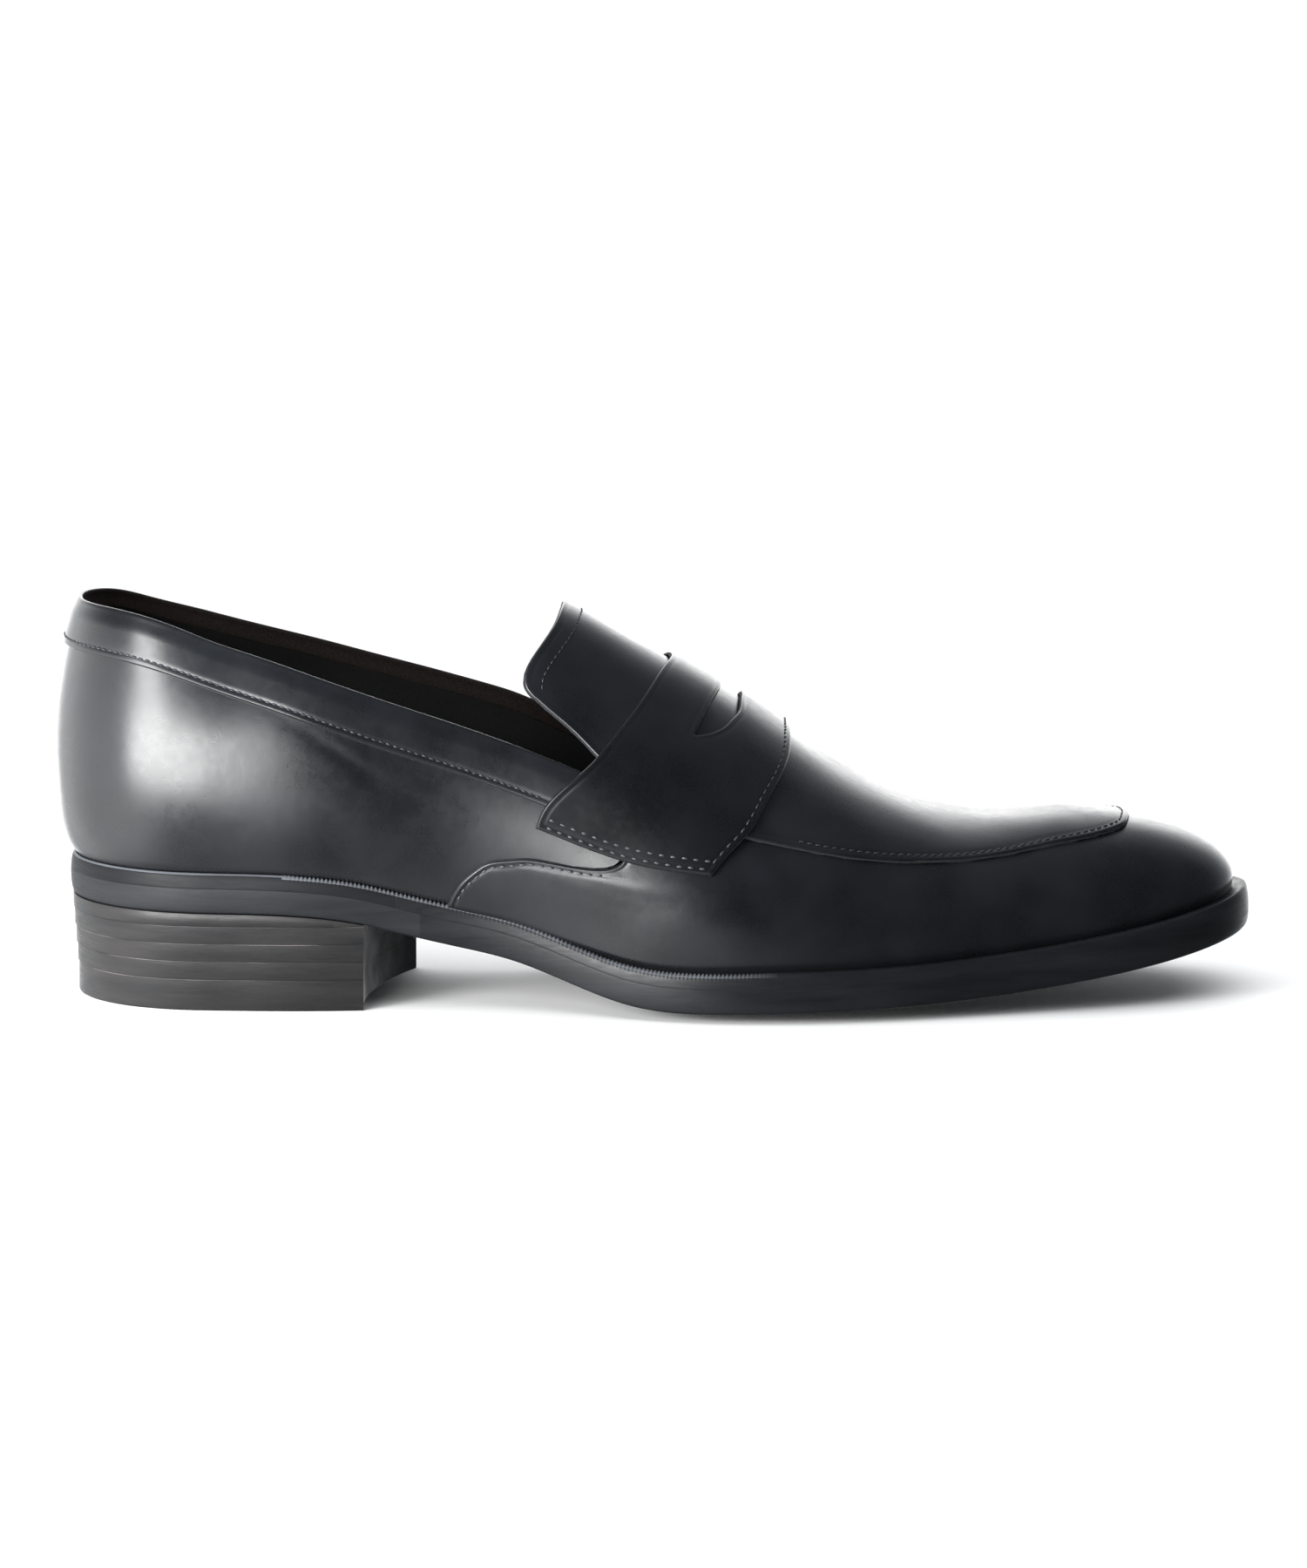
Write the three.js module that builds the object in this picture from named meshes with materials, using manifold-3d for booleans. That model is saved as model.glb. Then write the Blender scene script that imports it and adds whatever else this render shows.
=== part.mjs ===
// Men's slip-on penny loafer, right foot, on a stacked heel.
// Millimetres. +X points to the toe, +Z up, -Y is the outer (lateral) side, +Y the inner (medial) side.
// The shoe stands on the plane Z = 0. The origin is under the middle of the shoe's box.
import * as THREE from 'three';
import { mergeVertices } from 'three/addons/utils/BufferGeometryUtils.js';
import Module from 'manifold-3d';

const wasm = await Module();
wasm.setup();

// ---------------------------------------------------------------- driving dimensions
const lastLength = 294.5; // feather line, heel back to toe tip
const ballWidth = 92; // feather line at the ball
const lastBack = -147; // X of the heel end of the feather line
const heelHeight = 25.6; // tread of the outsole above the ground at the heel
const toeSpring = 15.8; // tread edge above the ground at the toe tip
const instepHeight = 104; // top of the upper above the sole, where the tongue ends

const outsoleThickness = 6.5;
const weltThickness = 3.6;
const weltInnerWidth = 8; // how far the welt reaches inside the feather line
const insoleThickness = 2.4;
const sockThickness = 1.0;
const sockInset = 5.8; // clear of the lining's foot
const insoleInset = 5.3;
const fillerThickness = 3.0;
const shankThickness = 1.6;
const shankWidth = 15;

const upperThickness = 1.2; // vamp, quarters, apron, collar band
const stiffenerThickness = 0.9; // heel counter and toe puff
const liningThickness = 0.9;
const strapThickness = 1.5;
const gap = 0.35; // clearance between pieces that touch
const innerGap = 0.55; // clearance between the curved layers inside the upper
const lapWidth = 8; // how far a panel runs on under the one that overlaps it

const topPieceThickness = 7.9;
const fullLifts = 3; // flat lifts; the wedge lift above them takes the slope of the sole
const wedgeHeight = 3.9; // the wedge lift at the back, with its gaps
const liftThickness = (heelHeight - topPieceThickness - wedgeHeight) / fullLifts;
const heelInset = 0.6; // heel block inside the edge of the outsole
const heelTaper = 0.35; // each layer below is this much smaller
const nailRadius = 1.0;
const nailClearance = 0.35;
const nailInset = 9;
const nailCount = 5;
const nailSides = 8;

const threadWidth = 0.7;
const threadHeight = 0.45;
const threadStep = 7; // length of one straight bit of a thread

// ---------------------------------------------------------------- curves
// Natural cubic spline through [position, value] pairs, held flat past its ends.
function spline(points) {
  const x = points.map((p) => p[0]);
  const y = points.map((p) => p[1]);
  const n = x.length;
  const m = new Array(n).fill(0);
  const c = new Array(n).fill(0);
  const d = new Array(n).fill(0);
  for (let i = 1; i < n - 1; i++) {
    const h0 = x[i] - x[i - 1];
    const h1 = x[i + 1] - x[i];
    const rhs = 6 * ((y[i + 1] - y[i]) / h1 - (y[i] - y[i - 1]) / h0);
    const pivot = 2 * (h0 + h1) - h0 * c[i - 1];
    c[i] = h1 / pivot;
    d[i] = (rhs - h0 * d[i - 1]) / pivot;
  }
  for (let i = n - 2; i > 0; i--) m[i] = d[i] - c[i] * m[i + 1];
  return (t) => {
    const v = Math.min(Math.max(t, x[0]), x[n - 1]);
    let i = 0;
    while (i < n - 2 && v > x[i + 1]) i++;
    const h = x[i + 1] - x[i];
    const a = (x[i + 1] - v) / h;
    const b = (v - x[i]) / h;
    return a * y[i] + b * y[i + 1] + (((a ** 3 - a) * m[i] + (b ** 3 - b) * m[i + 1]) * h * h) / 6;
  };
}
const lerp = (a, b, t) => (1 - t) * a + t * b;
const smooth = (lo, hi, t) => {
  const k = Math.min(Math.max((t - lo) / (hi - lo), 0), 1);
  return k * k * (3 - 2 * k);
};

// Stations along the last are in percent of lastLength from the heel end.
const heelStation = 12; // centre of the rounded heel end
const toeStation = 85; // centre of the rounded toe end
const stationX = (p) => lastBack + (lastLength * p) / 100;
const xStation = (x) => ((x - lastBack) / lastLength) * 100;
const heelX = stationX(heelStation);
const toeX = stationX(toeStation);
const tipX = stationX(100);
// The curves below are drawn for a last of these sizes, and stretched to the driving dimensions.
const drawn = { length: 294.5, back: -147, ballWidth: 92, instepHeight: 104, heelHeight: 25.6 };
const lengthFit = lastLength / drawn.length;
const widthFit = ballWidth / drawn.ballWidth;
const instepFit = instepHeight / drawn.instepHeight;
const fitX = (x) => lastBack + (x - drawn.back) * lengthFit;
const fitLength = (d) => d * lengthFit;

// Feather line: half widths either side of the middle line, before the ends are rounded off.
const lateralWidth = spline([[0, 31], [12, 32], [20, 33], [25, 32.2], [33, 31.2], [38, 33], [43, 36.9], [48, 42.1],
  [53, 46.4], [58, 48.1], [64, 47.4], [70, 44.8], [77, 39.8], [85, 34.2], [92, 29.6], [100, 25]]);
const medialWidth = spline([[0, 31], [12, 32], [20, 31], [25, 28.8], [33, 25.4], [38, 24.6], [43, 26.7], [48, 31.3],
  [53, 36.6], [58, 41.2], [64, 43.9], [70, 43], [77, 38], [85, 31.4], [92, 26.8], [100, 22]]);
const middleLine = spline([[0, 0], [12, 0], [33, 0.5], [50, 1], [64, 1.4], [77, 2], [85, 2.8], [92, 4], [100, 5.6]]);
const weltWidth = spline([[0, 1.7], [12, 1.7], [25, 1.7], [38, 1.8], [48, 3.2], [58, 4.2], [85, 4.6], [100, 4.8]]);

// Tread line (bottom of the sole along its middle) and how much higher the sole's edges are.
const heelRise = spline([[0, 1], [12, 0.985], [20, 0.955], [25, 0.87], [29, 0.75], [33, 0.635], [38, 0.485], [43, 0.25],
  [48, 0.055], [53, 0], [58, 0], [64, 0], [100, 0]]);
const toeRise = spline([[0, 0], [48, 0], [53, 0], [58, 0.012], [64, 0.038], [70, 0.085], [77, 0.18], [85, 0.36],
  [92, 0.585], [97, 0.8], [100, 0.95], [102.5, 1.09]]);
const edgeLift = spline([[0, 0], [29, 0], [38, 0.6], [45, 1.8], [52, 2.3], [64, 2.3], [77, 1.9], [90, 1.3], [100, 0.8]]);
const rawTread = (p) => heelHeight * heelRise(p) + toeSpring * toeRise(p);
// How much a higher heel lifts the upper over a station.
const heelLift = (p) => (heelHeight - drawn.heelHeight) * heelRise(p);
const lowestTread = Math.min(...Array.from({ length: 401 }, (_, i) => rawTread(40 + i / 10)));

// Upper: height of the ridge line, squareness of the cross-section, and bulge of the side walls.
const ridgeHeight = spline([[12, 120], [23, 117], [31, 111.5], [38, 104], [43, 96.6], [50, 85.2], [56.5, 74.4],
  [62.5, 62.6], [66.5, 55], [69.7, 50.2], [73, 46.5], [77, 43.9], [81, 43.6], [85, 44.8]]);
const squareness = spline([[0, 4], [6, 3.3], [12, 2.7], [20, 2.7], [30, 2.75], [36, 2.6], [43, 2.3], [50, 2.15],
  [58, 2.15], [70, 2.4], [79, 2.5], [85, 2.4], [100, 2.2]]);
const bulge = spline([[0, 5.2], [12, 4.6], [21, 4.3], [30, 4.5], [38, 4.6], [46, 4.2], [56, 3.4], [67, 2.4], [77, 1.8],
  [85, 1.4], [100, 0.6]]);
const bulgePeak = 0.3; // height of the fullest point, as a share of the ridge height

// ---------------------------------------------------------------- perimeter and bottom layers
// w runs once round the feather line: 0 heel back, 1 toe tip along the lateral side, 2 heel back again
// along the medial side. u is the same measure folded to one side.
const heelTurn = 0.16; // share of u that goes round the heel end
const toeTurn = 0.8; // u where the toe end starts
function uToX(u) {
  if (u < heelTurn) return heelX - (heelX - lastBack) * Math.cos((u / heelTurn) * (Math.PI / 2));
  if (u > toeTurn) return toeX + (tipX - toeX) * Math.sin(((u - toeTurn) / (1 - toeTurn)) * (Math.PI / 2));
  return lerp(heelX, toeX, (u - heelTurn) / (toeTurn - heelTurn));
}
function xToU(x) {
  if (x < heelX) return (heelTurn * Math.acos((heelX - x) / (heelX - lastBack))) / (Math.PI / 2);
  if (x > toeX) return toeTurn + ((1 - toeTurn) * Math.asin((x - toeX) / (tipX - toeX))) / (Math.PI / 2);
  return lerp(heelTurn, toeTurn, (x - heelX) / (toeX - heelX));
}
const steps = 1e6; // u is read in whole steps, so that both sides agree on the ridge
function fold(w) {
  const v = ((w % 2) + 2) % 2;
  const side = v <= 1 ? -1 : 1;
  return { side, u: Math.round((side < 0 ? v : 2 - v) * steps) / steps };
}
const perimeter = (side, x) => (side < 0 ? xToU(x) : 2 - xToU(x));
// Rounds the outline off at both ends.
function endCap(x) {
  const h = Math.min(Math.max((heelX - x) / (heelX - lastBack), 0), 1);
  const t = Math.min(Math.max((x - toeX) / (tipX - toeX), 0), 1);
  return Math.sqrt(1 - h ** 2.2) * Math.sqrt(1 - t ** 4.2);
}
function featherPlan(w) {
  const { side, u } = fold(w);
  const x = uToX(u);
  const p = xStation(x);
  const half = (side < 0 ? lateralWidth(p) : medialWidth(p)) * widthFit;
  return new THREE.Vector2(x, middleLine(p) + side * half * endCap(x));
}
function planNormal(w) {
  const d = featherPlan(w + 0.002).sub(featherPlan(w - 0.002)).normalize();
  return new THREE.Vector2(d.y, -d.x);
}
// The feather line moved outwards by grow (a number, or a function of the station).
function outline(w, grow) {
  const { u } = fold(w);
  const d = typeof grow === 'function' ? grow(xStation(uToX(u))) : grow;
  return featherPlan(w).add(planNormal(w).multiplyScalar(d));
}
// Height of the layer that lies h above the tread, at a plan position.
function layerZ(x, y, h) {
  const p = xStation(x);
  const half = 0.5 * (lateralWidth(p) + medialWidth(p)) * widthFit + weltWidth(p);
  const across = Math.min(Math.abs(y - middleLine(p)) / half, 1);
  return rawTread(p) - lowestTread + edgeLift(p) * across ** 2 + h;
}
const weltBottom = outsoleThickness + gap;
const weltTop = weltBottom + weltThickness;
const featherHeight = weltTop + innerGap; // foot of the upper above the tread

// ---------------------------------------------------------------- surface of the upper
const profileSteps = 60;
const profiles = new Map();
// Cross-section of the upper over perimeter position w, from the feather line (a = 0) to the ridge (a = 1).
function profile(w) {
  const { side, u } = fold(w);
  const key = side * (1 + u);
  if (profiles.has(key)) return profiles.get(key);
  const foot = featherPlan(w);
  const p = xStation(foot.x);
  const ridgeX = Math.min(Math.max(foot.x, heelX), toeX);
  const q = xStation(ridgeX);
  const head = new THREE.Vector2(ridgeX, middleLine(q));
  const out = foot.clone().sub(head);
  const reach = out.length();
  out.normalize();
  const z0 = layerZ(foot.x, foot.y, featherHeight);
  const z1 = ridgeHeight(q) * instepFit + heelLift(q);
  const n = squareness(p);
  const peak = Math.log(0.5) / Math.log(bulgePeak);
  const points = [];
  for (let i = 0; i <= profileSteps; i++) {
    const psi = (i / profileSteps) * (Math.PI / 2);
    const c = Math.cos(psi);
    const s = Math.sin(psi);
    const k = (c ** n + s ** n) ** (-1 / n);
    const rise = i === profileSteps ? 1 : k * s;
    const full = i === profileSteps ? 0 : bulge(p) * Math.sin(Math.PI * rise ** peak);
    const r = i === profileSteps ? 0 : reach * k * c + full;
    points.push(new THREE.Vector3(head.x + out.x * r, head.y + out.y * r, lerp(z0, z1, rise)));
  }
  const length = [0];
  for (let i = 1; i < points.length; i++) length.push(length[i - 1] + points[i].distanceTo(points[i - 1]));
  const made = { points, length, total: length[profileSteps] };
  profiles.set(key, made);
  return made;
}
// Point of the upper's outer surface; a is the share of the profile's length.
function surface(w, a) {
  const { points, length, total } = profile(w);
  const want = Math.min(Math.max(a, 0), 1) * total;
  let i = 1;
  while (i < profileSteps && length[i] < want) i++;
  const t = (want - length[i - 1]) / (length[i] - length[i - 1]);
  return points[i - 1].clone().lerp(points[i], t);
}
const ridgeShare = 0.985; // the rows meet at the ridge, so the slope is read no nearer to it than this
function slopeNormal(w, a) {
  const dw = 0.003;
  const da = 0.006;
  const at = Math.min(a, ridgeShare - da);
  const along = surface(w + dw, at).sub(surface(w - dw, at));
  const up = surface(w, at + da).sub(surface(w, Math.max(at - da, 0)));
  return along.cross(up).normalize();
}
// Both sides share one normal on the ridge, and the rounded ends share the one they turn about.
function surfaceNormal(w, a) {
  const here = slopeNormal(w, a);
  const near = smooth(0.93, 1, a);
  if (near === 0) return here;
  const u = Math.min(Math.max(fold(w).u, heelTurn), toeTurn);
  const ridge = slopeNormal(u, 1).add(slopeNormal(2 - u, 1)).normalize();
  return here.lerp(ridge, near).normalize();
}
function lifted(w, a, height) {
  return surface(w, a).add(surfaceNormal(w, a).multiplyScalar(height));
}
// The share of the profile at which it reaches a height.
function shareAtHeight(w, z) {
  const { points, length, total } = profile(w);
  let i = 1;
  while (i < profileSteps && points[i].z < z) i++;
  const t = Math.min(Math.max((z - points[i - 1].z) / (points[i].z - points[i - 1].z), 0), 1);
  return lerp(length[i - 1], length[i], t) / total;
}

// ---------------------------------------------------------------- seam lines on the upper
// Top line of the quarters: height over the station, a little lower on the lateral side.
const topLineLateral = spline([[0, 101.6], [3, 101.4], [8, 98.6], [13, 93.6], [16, 90.8], [22, 84.8], [28, 78.6], [37, 69.6],
  [43, 63], [50, 55]].map(([p, z]) => [p, z * instepFit + heelLift(p)]));
const topLineMedial = spline([[0, 101.6], [3, 99.8], [6.2, 96.6], [11, 92.7], [16, 88.8], [21, 85.2], [25.5, 81.9],
  [30.4, 78.4], [35.2, 74.6], [38, 72], [43, 65], [50, 55.5]].map(([p, z]) => [p, z * instepFit + heelLift(p)]));
const collarWidth = 12.5; // height of the collar band, top line to its seam
// Edge of the apron and tongue: share of the profile over the station of the foot point.
const apronShare = spline([[38.5, 0.605], [40, 0.585], [42.5, 0.555], [45, 0.51], [48, 0.465], [51, 0.432], [56, 0.395],
  [60, 0.39], [64, 0.393], [68, 0.403], [74, 0.435], [79, 0.48], [85.5, 0.55], [91, 0.583], [94, 0.597], [97, 0.617],
  [99, 0.645], [100, 0.655]]);
const tongueBack = stationX(38.7);
// The top line stays below the tongue's edge where they pass each other.
const tongueClearance = 0.8;
function topShare(w) {
  const { side, u } = fold(w);
  const p = xStation(uToX(u));
  const byHeight = shareAtHeight(w, side < 0 ? topLineLateral(p) : topLineMedial(p));
  if (uToX(u) < tongueBack) return byHeight;
  return Math.min(byHeight, apronShare(p) - tongueClearance / profile(w).total);
}
const bandShare = (w) => topShare(w) - collarWidth / profile(w).total;
// End of the tongue: its corners reach back further than its middle.
const tongueEnd = spline([[0.6, 0], [0.64, 0], [0.68, 0.9], [0.74, 3.4], [0.845, 7.4], [0.965, 9.2],
  [1, 9.4]].map(([a, d]) => [a, fitLength(d)]));
const tongueBlend = fitLength(34); // the end's curve fades out over this length

// Strap edges: X over the share of the profile.
const fitted = (points) => spline(points.map(([a, x]) => [a, fitX(x)]));
const strapLow = 0.272;
const strapBack = fitted([[0.272, -29.5], [0.32, -28], [0.375, -24.7], [0.495, -15.4], [0.565, -11.2], [0.715, -3.7],
  [0.885, 1.4], [0.96, 2.9], [1, 3.2]]);
const strapFront = fitted([[0.272, 14.8], [0.325, 18.2], [0.395, 23.2], [0.495, 27.4], [0.605, 30.8], [0.69, 32.6],
  [0.775, 33.4], [0.92, 33.5], [1, 33.5]]);
// Back edge of the vamp: X over the share of the profile. It laps over the quarter.
const vampBack = fitted([[0, -52], [0.05, -49.9], [0.09, -47.3], [0.125, -44], [0.15, -40.6], [0.17, -35.6], [0.19, -30.5],
  [0.205, -23.8], [0.225, -15.4], [0.245, -10.5], [0.295, -7], [0.5, -4]]);

// ---------------------------------------------------------------- solids from grids
function finish(geometry) {
  geometry.deleteAttribute('normal');
  geometry.deleteAttribute('uv');
  const merged = mergeVertices(geometry, 1e-4);
  const index = merged.index.array;
  const kept = [];
  for (let i = 0; i < index.length; i += 3) {
    const [a, b, c] = [index[i], index[i + 1], index[i + 2]];
    if (a !== b && b !== c && c !== a) kept.push(a, b, c);
  }
  merged.setIndex(kept);
  return merged;
}
function indexed(vertices, triangles) {
  const geometry = new THREE.BufferGeometry();
  geometry.setAttribute('position', new THREE.Float32BufferAttribute(vertices.flatMap((v) => [v.x, v.y, v.z]), 3));
  geometry.setIndex(triangles);
  return finish(geometry);
}
// A closed shell between two grids of points of the same size, rows x columns. `top` is the side that
// rows x columns winds outwards. The edges are walled, but for the last column of a panel that is folded
// over the ridge, where its two sides join.
function shell(rows, columns, top, bottom, folded = false) {
  const vertices = [];
  const triangles = [];
  const stride = columns + 1;
  for (const at of [top, bottom]) {
    for (let i = 0; i <= rows; i++) for (let j = 0; j <= columns; j++) vertices.push(at(i / rows, j / columns));
  }
  const under = (rows + 1) * stride;
  const quad = (a, b, c, d) => triangles.push(a, b, c, a, c, d);
  for (let i = 0; i < rows; i++) {
    for (let j = 0; j < columns; j++) {
      const a = i * stride + j;
      const b = a + stride;
      quad(a, b, b + 1, a + 1);
      quad(under + a, under + a + 1, under + b + 1, under + b);
    }
    const [a, b] = [i * stride, (i + 1) * stride];
    quad(a, under + a, under + b, b);
    if (!folded) quad(b + columns, under + b + columns, under + a + columns, a + columns);
  }
  for (let j = 0; j < columns; j++) {
    const [a, b] = [j, rows * stride + j];
    quad(a + 1, under + a + 1, under + a, a);
    quad(b, under + b, under + b + 1, b + 1);
  }
  return indexed(vertices, triangles);
}
// Leather panel: chart(i, j) gives [w, a]; inner and outer are heights over the surface, numbers or functions.
function panel(rows, columns, chart, inner, outer, folded = false) {
  const height = (h, w, a) => (typeof h === 'function' ? h(w, a) : h);
  const at = (h) => (i, j) => {
    const [w, a] = chart(i, j);
    return lifted(w, a, height(h, w, a));
  };
  return shell(rows, columns, at(outer), at(inner), folded);
}
// Bottom layer: a plate inside the outline moved by grow, from perimeter u0 to u1, between two heights.
function plate(rows, columns, u0, u1, grow, low, high) {
  const at = (h) => (i, j) => {
    const u = lerp(u0, u1, i);
    const l = outline(u, grow);
    const m = outline(2 - u, grow);
    const x = lerp(l.x, m.x, j);
    const y = lerp(l.y, m.y, j);
    return new THREE.Vector3(x, y, layerZ(x, y, h));
  };
  return shell(rows, columns, at(high), at(low));
}
// Strip that runs round the perimeter from w0 to w1, between two offsets of the feather line.
function rim(rows, w0, w1, innerGrow, outerGrow, low, high) {
  const at = (h) => (i, j) => {
    const w = lerp(w0, w1, i);
    const a = outline(w, outerGrow);
    const b = outline(w, innerGrow);
    const v = a.lerp(b, j);
    return new THREE.Vector3(v.x, v.y, layerZ(v.x, v.y, h));
  };
  return shell(rows, 1, at(high), at(low));
}

// ---------------------------------------------------------------- booleans
function solid(geometry) {
  const g = finish(geometry.clone());
  return new wasm.Manifold(new wasm.Mesh({
    numProp: 3,
    vertProperties: new Float32Array(g.attributes.position.array),
    triVerts: new Uint32Array(g.index.array),
  }));
}
function geometryOf(manifold) {
  const mesh = manifold.getMesh();
  const geometry = new THREE.BufferGeometry();
  geometry.setAttribute('position', new THREE.BufferAttribute(new Float32Array(mesh.vertProperties), 3));
  geometry.setIndex(new THREE.BufferAttribute(new Uint32Array(mesh.triVerts), 1));
  return geometry;
}

// ---------------------------------------------------------------- materials
const finishOf = (color, roughness, metalness = 0) => new THREE.MeshStandardMaterial({ color, roughness, metalness });
const calf = finishOf(0x15171b, 0.34);
const lining = finishOf(0x121212, 0.7);
const soleEdge = finishOf(0x1b1c1e, 0.45);
const heelLeather = finishOf(0x242322, 0.5);
const rubber = finishOf(0x161616, 0.8);
const insoleBoard = finishOf(0x8a6a48, 0.8);
const cork = finishOf(0x9a7448, 0.95);
const stiffener = finishOf(0xb9b0a0, 0.9);
const steel = finishOf(0x8d9196, 0.35, 1);
const thread = finishOf(0x24272c, 0.6);

const shoe = new THREE.Group();
function add(name, geometry, material) {
  const mesh = new THREE.Mesh(geometry, material);
  mesh.name = name;
  shoe.add(mesh);
  return mesh;
}

// ---------------------------------------------------------------- sole
const breastLateralX = fitX(-73.3); // front corners of the heel block
const breastMedialX = fitX(-61);
const breastHollow = 4; // how far the front of the heel curves back
const randLateral = xToU(breastLateralX + 8);
const randMedial = xToU(breastMedialX + 4);
const joint = 0.0015; // gap at the joints of the welt, in perimeter measure
const fillerClearance = 0.5;

add('outsole', plate(36, 4, 0, 1, weltWidth, 0, outsoleThickness), soleEdge);
const weltInner = -weltInnerWidth;
add('welt', rim(48, randLateral + joint, 2 - randMedial - joint, weltInner, weltWidth, weltBottom, weltTop), soleEdge);
add('heel_seat_rand', rim(26, -randMedial, randLateral, weltInner, weltWidth, weltBottom, weltTop), soleEdge);

const fillerInset = -weltInnerWidth - fillerClearance;
const fillerStart = xToU(stationX(46));
const fillerEnd = 0.985; // u just short of the toe tip
add('cork_filler', plate(16, 3, fillerStart, fillerEnd, fillerInset, weltBottom, weltBottom + fillerThickness), cork);

const shankBack = stationX(14);
const shankFront = stationX(44);
function shankPoint(h) {
  return (i, j) => {
    const x = lerp(shankBack, shankFront, i);
    const y = middleLine(xStation(x)) + lerp(-shankWidth / 2, shankWidth / 2, j);
    return new THREE.Vector3(x, y, layerZ(x, y, h));
  };
}
add('shank', shell(12, 1, shankPoint(weltBottom + shankThickness), shankPoint(weltBottom)), steel);

const insoleTop = featherHeight + insoleThickness;
const sockBottom = insoleTop + gap;
add('insole', plate(28, 3, 0.02, 0.985, -insoleInset, featherHeight, insoleTop), insoleBoard);
add('sock_liner', plate(28, 3, 0.025, 0.98, -sockInset, sockBottom, sockBottom + sockThickness), lining);

// ---------------------------------------------------------------- heel
// Plan of a heel layer: round the back of the sole, then across the hollow front.
function heelPlan(inset) {
  const grow = (p) => weltWidth(p) - inset;
  const lateral = xToU(breastLateralX);
  const medial = xToU(breastMedialX);
  const around = 26;
  const across = 6;
  const points = [];
  for (let i = 0; i <= around; i++) points.push(outline(lerp(lateral, -medial, i / around), grow));
  const from = points[points.length - 1];
  const to = points[0];
  for (let i = 1; i < across; i++) {
    const t = i / across;
    points.push(new THREE.Vector2(lerp(from.x, to.x, t) - 4 * breastHollow * t * (1 - t), lerp(from.y, to.y, t)));
  }
  return points;
}
const nailFront = 16; // the first and last nails, behind the front of the heel
function nailPlaces() {
  const places = [];
  for (let i = 0; i < nailCount; i++) {
    const w = lerp(xToU(breastLateralX - nailFront), -xToU(breastMedialX - nailFront), i / (nailCount - 1));
    places.push(outline(w, -nailInset));
  }
  return places;
}
function layer(inset, low, high, holes) {
  const shape = new THREE.Shape(heelPlan(inset));
  if (holes) {
    for (const c of nailPlaces()) {
      const r = nailRadius + nailClearance;
      const ring = [];
      for (let i = 0; i < nailSides; i++) {
        const turn = (2 * Math.PI * i) / nailSides;
        ring.push(new THREE.Vector2(c.x + r * Math.cos(turn), c.y + r * Math.sin(turn)));
      }
      shape.holes.push(new THREE.Path(ring));
    }
  }
  const geometry = new THREE.ExtrudeGeometry(shape, { depth: high - low, bevelEnabled: false });
  return finish(geometry.translate(0, 0, low));
}
const soleCutWidth = 3; // the cutting body stands out this far beyond the sole
const soleCutHeight = 20;
const underSole = solid(plate(40, 6, 0, 0.45, (p) => weltWidth(p) + soleCutWidth, -gap, soleCutHeight));
const belowSole = (geometry) => finish(geometryOf(solid(geometry).subtract(underSole)));
const layers = fullLifts + 2;
add('heel_top_piece', layer(heelInset + heelTaper * (layers - 1), 0, topPieceThickness, false), rubber);
let heelLevel = topPieceThickness + gap;
const nailSink = 0.4; // the nails end this far inside the lifts
const nailLow = heelLevel + nailSink;
for (let i = fullLifts; i > 0; i--) {
  const inset = heelInset + heelTaper * i;
  add(`heel_lift_${i}`, belowSole(layer(inset, heelLevel, heelLevel + liftThickness - gap, true)), heelLeather);
  heelLevel += liftThickness;
}
const nailHigh = heelLevel - gap - nailSink;
add('heel_wedge_lift', belowSole(layer(heelInset, heelLevel, heelHeight + wedgeHeight, false)), heelLeather);
nailPlaces().forEach((c, i) => {
  const nail = new THREE.CylinderGeometry(nailRadius, nailRadius, nailHigh - nailLow, nailSides);
  nail.rotateX(Math.PI / 2).translate(c.x, c.y, (nailLow + nailHigh) / 2);
  add(`heel_nail_${i + 1}`, finish(nail), steel);
});

// ---------------------------------------------------------------- upper
const footShare = 0.008; // panels start just above the welt
const quarterDrop = 1.2; // the quarters end this far below the collar band's top
// The vamp laps the quarter along their seam; higher up, below the strap, they only meet.
const meetFrom = 0.18;
const meetFull = 0.22;
const quarterFront = (a) => vampBack(a) + lerp(lapWidth, -2 * gap, smooth(meetFrom, meetFull, a));
// Quarter of one side, from the back seam to under the vamp and strap. Rows follow the seam up to where
// it passes below the strap, then spread to the top line.
const seamRows = 9;
const heelCrowding = 0.6; // the columns stand closer together round the heel
const upperRows = 3;
const seamTop = 0.3;
function quarter(side) {
  const back = side < 0 ? joint : 2 - joint;
  const rows = seamRows + upperRows;
  const chart = (i, j) => {
    const k = Math.round(j * rows);
    const low = lerp(footShare, seamTop, Math.min(k / seamRows, 1));
    const w = lerp(back, perimeter(side, quarterFront(low)), i * (heelCrowding + (1 - heelCrowding) * i));
    const top = topShare(w) - quarterDrop / profile(w).total;
    return [w, k <= seamRows ? low : lerp(seamTop, top, (k - seamRows) / upperRows)];
  };
  const flipped = (i, j) => chart(1 - i, j);
  return panel(15, rows, side < 0 ? chart : flipped, -upperThickness, 0);
}
add('quarter_lateral', quarter(-1), calf);
add('quarter_medial', quarter(1), calf);

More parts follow.
